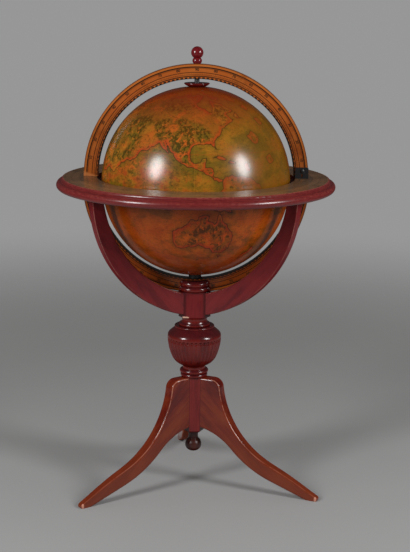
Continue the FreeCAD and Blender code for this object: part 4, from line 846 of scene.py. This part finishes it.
def make_urn(finish):
    """The turned urn with its fluted bowl; its points are radius and height in millimetres."""
    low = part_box("urn")[0].z / MM
    foot, base, bowl, rim = (24.6, low + 4.3), (32.0, low + 10.8), (48.3, low + 27.8), (58.2, low + 73.0)
    roll, slope, ledge = (58.2, low + 75.0), (53.7, low + 83.3), (42.0, low + 93.3)
    ledge_top, collar, bulge = (40.0, low + 97.3), (31.5, low + 97.3), 6.5 / 3
    neck, top = (collar[0] - bulge, low + 103.8), (29.5, low + 117.8)
    up_bowl, bowl_heading = arc_leaving(rim, -math.pi / 2, bowl, 44)
    up_base, _ = arc_leaving(bowl, bowl_heading, base, 14)
    slope_heading = math.atan2(slope[1] - ledge[1], slope[0] - ledge[0])
    down_roll, _ = arc_leaving(slope, slope_heading, roll, 12)
    profile = [(URN_BORE, low), (foot[0], low), foot]
    profile += arc_through(foot, ((foot[0] * 2 + base[0]) / 3, (foot[1] + base[1] * 2) / 3), base, 8)
    profile += up_base[-2::-1] + [bowl] + up_bowl[-2::-1] + [rim, roll]
    profile += down_roll[-2::-1] + [slope] + straight(slope, ledge, 3)
    profile += arc_through(ledge, (ledge[0] + 4.0 / 3, (ledge[1] + ledge_top[1]) / 2), ledge_top, 8)
    profile += [collar]
    profile += arc_through(collar, (collar[0] + bulge, (collar[1] + neck[1]) / 2), neck, 10)
    profile += arc_through(neck, (27.2, (neck[1] + top[1]) / 2), top, 10)
    profile += [(URN_BORE, top[1])]
    mesh, _ = turned_mesh("urn_fluted", finish, profile, URN_FLUTES * 12, fluted)
    show("urn_fluted", mesh, "base", "turned_wood", "urn")


# The saucer, in millimetres
SAUCER_BORE = 5.3
SAUCER_FOOT = 15.5
SAUCER_LIP = 26.2


def make_pole_saucer(finish):
    """The saucer on the upper pole, hollowed to the sphere, with a round underside."""
    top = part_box("upper_pole_disc")[1].z / MM
    against = GLOBE_REACH + SLACK

    def on_sphere(radius):
        return radius, GLOBE_MIDDLE / MM + math.sqrt(against ** 2 - radius ** 2)

    foot, lip_low, lip_high = on_sphere(SAUCER_FOOT), (SAUCER_LIP, top - 2.4), (SAUCER_LIP, top)
    profile = [on_sphere(radius) for radius in (SAUCER_BORE, 9.0, 12.5)] + [foot]
    profile += arc_through(foot, (22.8, top - 5.2), lip_low, 10)
    profile += arc_through(lip_low, (27.0, top - 1.2), lip_high, 8)
    profile += [(SAUCER_BORE, top)]
    mesh, _ = turned_mesh("upper_pole_saucer", finish, profile, 120)
    show("upper_pole_saucer", mesh, "upper_globe", "turned_wood", "upper_pole_disc")


def make_half_sphere(half, way, facing_longitude, paper, inside):
    """The upper or lower half of the sphere: a thin shell with map paper outside and lining inside."""
    outer_rows, inner_rows, columns = 112, 40, 420

    def shell(radius, rows):
        edge = math.asin(SPLIT_HALF / radius)
        pole = math.acos(POLE_HOLE / radius)
        angles = np.linspace(edge, pole, rows)
        return [(radius * math.cos(angle), GLOBE_MIDDLE + way * radius * math.sin(angle)) for angle in angles]

    profile = shell(GLOBE_RADIUS, outer_rows) + shell(GLOBE_RADIUS - SHELL_THICK, inner_rows)[::-1]
    if way < 0:
        profile = profile[::-1]
    name = "sphere_" + half
    mesh, points = turned_mesh(name, paper, profile, columns, unit=1.0)
    offset = points - np.array((0, 0, GLOBE_MIDDLE))
    reach = np.linalg.norm(offset, axis=1)
    latitude = np.degrees(np.arcsin(np.clip(offset[:, 2] / reach, -1, 1)))
    longitude = np.degrees(np.arctan2(offset[:, 1], offset[:, 0])) + 90.0 + facing_longitude
    longitude = (longitude + 180.0) % 360.0 - 180.0
    outside = reach > GLOBE_RADIUS - SHELL_THICK / 2
    shore = np.full(len(points), -50.0)
    shore[outside] = shore_distance(longitude[outside], latitude[outside])
    mesh.attributes.new("shore", "FLOAT", "POINT").data.foreach_set("value", shore.astype(np.float32))
    mesh.materials.append(inside)
    corners = np.array([polygon.vertices[:] for polygon in mesh.polygons])
    lined = ~outside[corners].all(axis=1)
    mesh.polygons.foreach_set("material_index", lined.astype(np.int32))
    show(name, mesh, half + "_globe", half + "_map", half + "_hemisphere")


# The numbers on the scales, in millimetres; their reach is from the ring's inner edge
NUMBER_SIZE = 8.2
NUMBER_WEIGHT = 0.26
NUMBER_THICK_HALF = 0.03
NUMBER_LIFT = 0.05
NUMBER_REACH = 19.2


def make_numbers(name, middle, ring, sign, finish, body):
    """The degrees 10 to 90 on both flat sides of a half ring, counted up from the horizon."""
    radius = (ring[0] + NUMBER_REACH) * MM
    joined = bmesh.new()
    for degrees in range(10, 180, 10):
        text = bpy.data.curves.new("degree", "FONT")
        text.body = str(degrees if degrees <= 90 else 180 - degrees)
        text.size = NUMBER_SIZE * MM
        text.offset = NUMBER_WEIGHT * MM
        text.extrude = NUMBER_THICK_HALF * MM
        text.resolution_u = 8
        text.align_x = "CENTER"
        text.align_y = "CENTER"
        written = bpy.data.objects.new("degree", text)
        flat = bpy.data.meshes.new_from_object(written)
        angle = math.radians(degrees)
        for front in (-1.0, 1.0):
            outward = Vector((math.cos(angle), 0.0, sign * math.sin(angle)))
            normal = Vector((0.0, front, 0.0))
            upright = outward if sign > 0 else -outward
            rightward = upright.cross(normal)
            spot = outward * radius + Vector((0.0, front * (RING_FACE + NUMBER_LIFT * MM), middle))
            place = Matrix((rightward, upright, normal)).transposed().to_4x4()
            copy = flat.copy()
            copy.transform(Matrix.Translation(spot) @ place)
            joined.from_mesh(copy)
            bpy.data.meshes.remove(copy)
        bpy.data.meshes.remove(flat)
        bpy.data.objects.remove(written)
        bpy.data.curves.remove(text)
    bmesh.ops.remove_doubles(joined, verts=joined.verts, dist=0.001 * MM)
    mesh = bpy.data.meshes.new(name)
    joined.to_mesh(mesh)
    joined.free()
    mesh.materials.append(finish)
    show(name, mesh, body, "meridian_print")


# Finishes on the pieces

# Stain tones: dark, middle and light
LEG_TONES = ((0.088, 0.005, 0.002), (0.120, 0.008, 0.003), (0.182, 0.027, 0.006))
TURNED_TONES = ((0.080, 0.005, 0.004), (0.110, 0.007, 0.005), (0.140, 0.011, 0.007))
COLUMN_TONES = ((0.105, 0.006, 0.006), (0.130, 0.008, 0.008), (0.160, 0.014, 0.010))
PENDANT_TONES = ((0.035, 0.007, 0.005), (0.055, 0.010, 0.006), (0.080, 0.015, 0.009))
FINIAL_TONES = ((0.085, 0.004, 0.005), (0.125, 0.006, 0.009), (0.165, 0.010, 0.014))
ARM_TONES = ((0.108, 0.005, 0.008), (0.132, 0.007, 0.009), (0.165, 0.010, 0.011))
RACK_TONES = ((0.075, 0.022, 0.010), (0.150, 0.050, 0.022), (0.230, 0.088, 0.040))
LEG_LOW = (0.185, 0.034, 0.009)
# The legs' worn tone, laid on the chips and on the arrises, where it is also a painted highlight
LEG_BARE_AND_SHEEN = (0.50, 0.23, 0.16)
ARM_BARE = (0.55, 0.33, 0.24)

# Slopes of the grain in degrees, the toe's corner as outward, aside and up, and chips, in metres
LEG_SLOPE = 42.0
ARM_SLOPE = -48.0
TOE_CORNER = (0.2905, 0.0072, 0.005)
TOE_CHIP = (0.0028, 0.0028, 0.006)
BLOCK_CHIP = ((-0.0205, -0.0262, 0.3785), (0.009, 0.006, 0.003))

# Printed tones: pale, olive, grey and ink of the horizon, and dark, red and bright of its moulding
INK = (0.020, 0.010, 0.006)
HORIZON_TONES = ((0.215, 0.108, 0.050), (0.140, 0.070, 0.032), (0.105, 0.066, 0.040), INK)
MOULDING_TONES = ((0.112, 0.010, 0.011), (0.156, 0.018, 0.016), (0.36, 0.10, 0.07))

# Scale tones: face, margin, ink and the wood of the edge
RING_EDGE = (0.190, 0.026, 0.010)
UPPER_SCALE_TONES = ((0.325, 0.076, 0.012), (0.380, 0.110, 0.020), INK, RING_EDGE)
LOWER_SCALE_TONES = ((0.215, 0.042, 0.007), (0.270, 0.064, 0.011), INK, RING_EDGE)
BARE_FOOT = (0.44, 0.15, 0.045)

# Map tones: pale and deep sea, green wash, pale, orange and red land, ink
UPPER_PAPER = ((0.325, 0.138, 0.009), (0.245, 0.096, 0.006), (0.112, 0.080, 0.006), (0.380, 0.132, 0.010),
               (0.435, 0.092, 0.009), (0.365, 0.042, 0.006), (0.032, 0.018, 0.004))
LOWER_PAPER = ((0.410, 0.080, 0.006), (0.295, 0.046, 0.003), (0.135, 0.043, 0.003), (0.390, 0.070, 0.005),
               (0.400, 0.054, 0.004), (0.300, 0.024, 0.003), (0.026, 0.008, 0.003))

# Longitudes that face the front, and wind roses by longitude and latitude
UPPER_FACING = -94.0
LOWER_FACING = 128.0
UPPER_ROSES = ((-30, 29), (165, 30), (70, 8))
LOWER_ROSES = ((86, -24), (163, -26), (-20, -25), (-115, -30))


def paint(finish, *names):
    """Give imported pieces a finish."""
    for name in names:
        nodes[name].material_slots[0].material = finish


def finish_stand():
    """Legs, column, turned pieces, block and arms."""
    upright = (0, 0, 1)
    reach, aside, height = TOE_CORNER
    # Each leg with the side on which its toe is chipped, or 0
    legs = ("leg_back", 0), ("leg_front_left", 1), ("leg_front_right", -1)
    for angle, (name, chipped) in zip(thirds(LEG_TURN), legs):
        across = spoke(angle + 90)
        corner = Vector(spoke(angle)) * reach + Vector(across) * (aside * chipped)
        chips = [((corner.x, corner.y, height), TOE_CHIP)] if chipped else []
        make_leg(name, angle, stained_wood("varnish_" + name, spoke(angle, LEG_SLOPE), LEG_TONES, across,
                                           wear_and_sheen=0.6, bare=LEG_BARE_AND_SHEEN, low=LEG_LOW, chips=chips))
    column_joints = (LEG_TURN + 180.0, COLUMN_FACE / 2)
    paint(stained_wood("varnish_column", upright, COLUMN_TONES, joints=column_joints), "column_block")
    turned = stained_wood("varnish_turned", upright, TURNED_TONES, turned=True, top_shade=0.65)
    paint(turned, "column_ring")
    paint(stained_wood("varnish_pendant", upright, PENDANT_TONES, haze=0.34, turned=True), "pendant")
    paint(stained_wood("varnish_finial", upright, FINIAL_TONES, turned=True), "finial")
    make_urn(turned)
    make_knob(turned)
    make_pole_saucer(turned)
    for angle, name in zip(thirds(ARM_TURN), ("arm_back", "arm_left", "arm_right")):
        paint(stained_wood("varnish_" + name, spoke(angle, ARM_SLOPE), ARM_TONES, spoke(angle + 90),
                           wear_and_sheen=0.3, bare=ARM_BARE), name)
    block_joints = (ARM_TURN + 180.0, BLOCK_FACE / 2)
    paint(stained_wood("varnish_block", upright, ARM_TONES, bare=ARM_BARE, chips=[BLOCK_CHIP],
                       joints=block_joints), "cradle_block")


def finish_fittings():
    """Dowels, steel, hinge and rack."""
    paint(bare_beech("dowel_beech_bare"), "leg_dowels", "arm_dowels", "knob_dowels", "meridian_dowels")
    paint(bright_steel("steel_turned"), "tie_rod", "tie_rod_nut", "tie_rod_washer", "lower_pole_pin",
          "lower_pole_washer", "lower_pole_nut", "upper_pole_washer", "upper_pole_nut")
    paint(black_paint("steel_black"), "hinge_bracket", "hinge_screws", "hinge_pin", "lower_pole_collar",
          "upper_pole_spindle")
    rack = stained_wood("varnish_rack", (1, 0, 0), RACK_TONES, gloss=0.5)
    paint(rack, "upper_rim", "lower_rim", "upper_pole_pad", "lower_pole_pad", "rack_shelf", "rack_deck")
    rack_turned = stained_wood("varnish_rack_turned", (0, 0, 1), RACK_TONES, gloss=0.7, turned=True)
    paint(rack_turned, "rack_posts", "rack_knob")


def finish_rings():
    """The horizon print and the two degree scales with their numbers."""
    paint(horizon_paper("horizon_print_varnished", HORIZON_TONES, MOULDING_TONES), "horizon_ring")
    paint(ring_scale("scale_upper", HORIZON_TOP, UPPER_RING, UPPER_SCALE_TONES, band_on_sides=True,
                     bare_foot=BARE_FOOT), "upper_meridian")
    paint(ring_scale("scale_lower", GLOBE_MIDDLE, LOWER_RING, LOWER_SCALE_TONES), "lower_meridian")
    numbers = printing_ink("scale_ink")
    make_numbers("upper_scale_numbers", HORIZON_TOP, UPPER_RING, 1.0, numbers, "lid")
    make_numbers("lower_scale_numbers", GLOBE_MIDDLE, LOWER_RING, -1.0, numbers, "base")


def finish_sphere():
    """Both halves of the map sphere."""
    inside = lining("sphere_lining")
    upper = map_paper("map_upper", UPPER_FACING, UPPER_PAPER, UPPER_ROSES, pole_browning=0.86, side_shade=0.62,
                      side_turn=-25.0, worked_turn=-172.0, gloss=1.0)
    lower = map_paper("map_lower", LOWER_FACING, LOWER_PAPER, LOWER_ROSES, pole_browning=0.55, side_shade=0.50,
                      side_turn=-160.0, worked_turn=90.0, gloss=0.6)
    make_half_sphere("upper", 1.0, UPPER_FACING, upper, inside)
    make_half_sphere("lower", -1.0, LOWER_FACING, lower, inside)


# Studio, in metres and degrees; light from round about has a colour and a strength

FLOOR_RADIUS = 6.0
FLOOR_FADE = (1.0, 3.2)
FILL = ((1.0, 0.99, 0.97), 0.30)
ROOM = ((1.0, 1.0, 1.0), 0.035)
WALL = ((1.0, 1.0, 1.0), 0.31)
LAMP_DISTANCE = 2.3
LAMP_WIDTH = 0.62
LAMP_HEIGHT = 0.96
CAMERA_PLACE = (0.0217, -2.8819, 1.0982)
CAMERA_DIP = 12.38
CAMERA_ROLL = 0.69


def make_floor():
    """A plain pale floor that fades into the backdrop."""
    mesh = bpy.data.meshes.new("studio_floor")
    floor = bmesh.new()
    bmesh.ops.create_circle(floor, cap_ends=True, radius=FLOOR_RADIUS, segments=96)
    floor.to_mesh(mesh)
    floor.free()
    finish = Finish("floor_paper")
    x, y, _ = finish.place.parts()
    reach, _ = finish.polar(x, y)
    colour = finish.blend((0.30, 0.30, 0.302), (0.335, 0.335, 0.333), finish.noise(2.0, 3.0))
    matt = finish.node("BsdfPrincipled", {"Base Color": colour, "Roughness": 0.75})
    clear = finish.node("BsdfTransparent", {})
    shader = finish.node("MixShader", {0: reach.step(*FLOOR_FADE), 1: matt, 2: clear})
    finish.node("OutputMaterial", {"Surface": shader})
    mesh.materials.append(finish.material)
    piece = put("studio_floor", mesh)


def make_world():
    """Soft light from all round, with a plain grey backdrop for the camera and a dark room in reflections."""
    world = bpy.data.worlds.new("studio")
    bpy.context.scene.world = world
    world.use_nodes = True
    world.node_tree.nodes.clear()
    air = Signal(world.node_tree)
    camera = air.node("LightPath", {}, output="Is Camera Ray")
    glossy = Signal(air.tree, camera.socket.node.outputs["Is Glossy Ray"])
    clear = Signal(air.tree, camera.socket.node.outputs["Is Transmission Ray"])
    fill, room, wall = (air.node("Background", {"Color": (*tone, 1.0), "Strength": strength})
                        for tone, strength in (FILL, ROOM, WALL))
    reflected = air.node("MixShader", {0: glossy, 1: fill, 2: room})
    shader = air.node("MixShader", {0: camera.most(clear), 1: reflected, 2: wall})
    air.node("OutputWorld", {"Surface": shader})


def make_lamp(name, turn, rise, watts):
    """A soft box that looks at the sphere from an angle to the front and a height angle."""
    lamp = bpy.data.lights.new(name, "AREA")
    lamp.shape = "ELLIPSE"
    lamp.size = LAMP_WIDTH
    lamp.size_y = LAMP_HEIGHT
    lamp.energy = watts
    way = Vector(spoke(turn - 90.0, -rise))
    holder = put(name, lamp)
    holder.location = Vector((0.0, 0.0, GLOBE_MIDDLE)) + way * LAMP_DISTANCE
    holder.rotation_euler = (-way).to_track_quat("-Z", "Y").to_euler()


def make_camera():
    """The photograph's point of view."""
    lens = bpy.data.cameras.new("photo_view")
    lens.lens = 89.1
    lens.sensor_width = 36.0
    camera = put("photo_view", lens)
    camera.matrix_world = (Matrix.Translation(CAMERA_PLACE)
                           @ Matrix.Rotation(math.radians(90.0 - CAMERA_DIP), 4, "X")
                           @ Matrix.Rotation(math.radians(CAMERA_ROLL), 4, "Z"))
    bpy.context.scene.camera = camera


finish_stand()
finish_fittings()
finish_rings()
finish_sphere()
make_floor()
make_world()
make_lamp("left_soft_box", turn=-49.0, rise=19.0, watts=39.0)
make_lamp("right_soft_box", turn=60.0, rise=20.0, watts=37.0)
make_camera()
bpy.context.scene.view_settings.view_transform = "Standard"
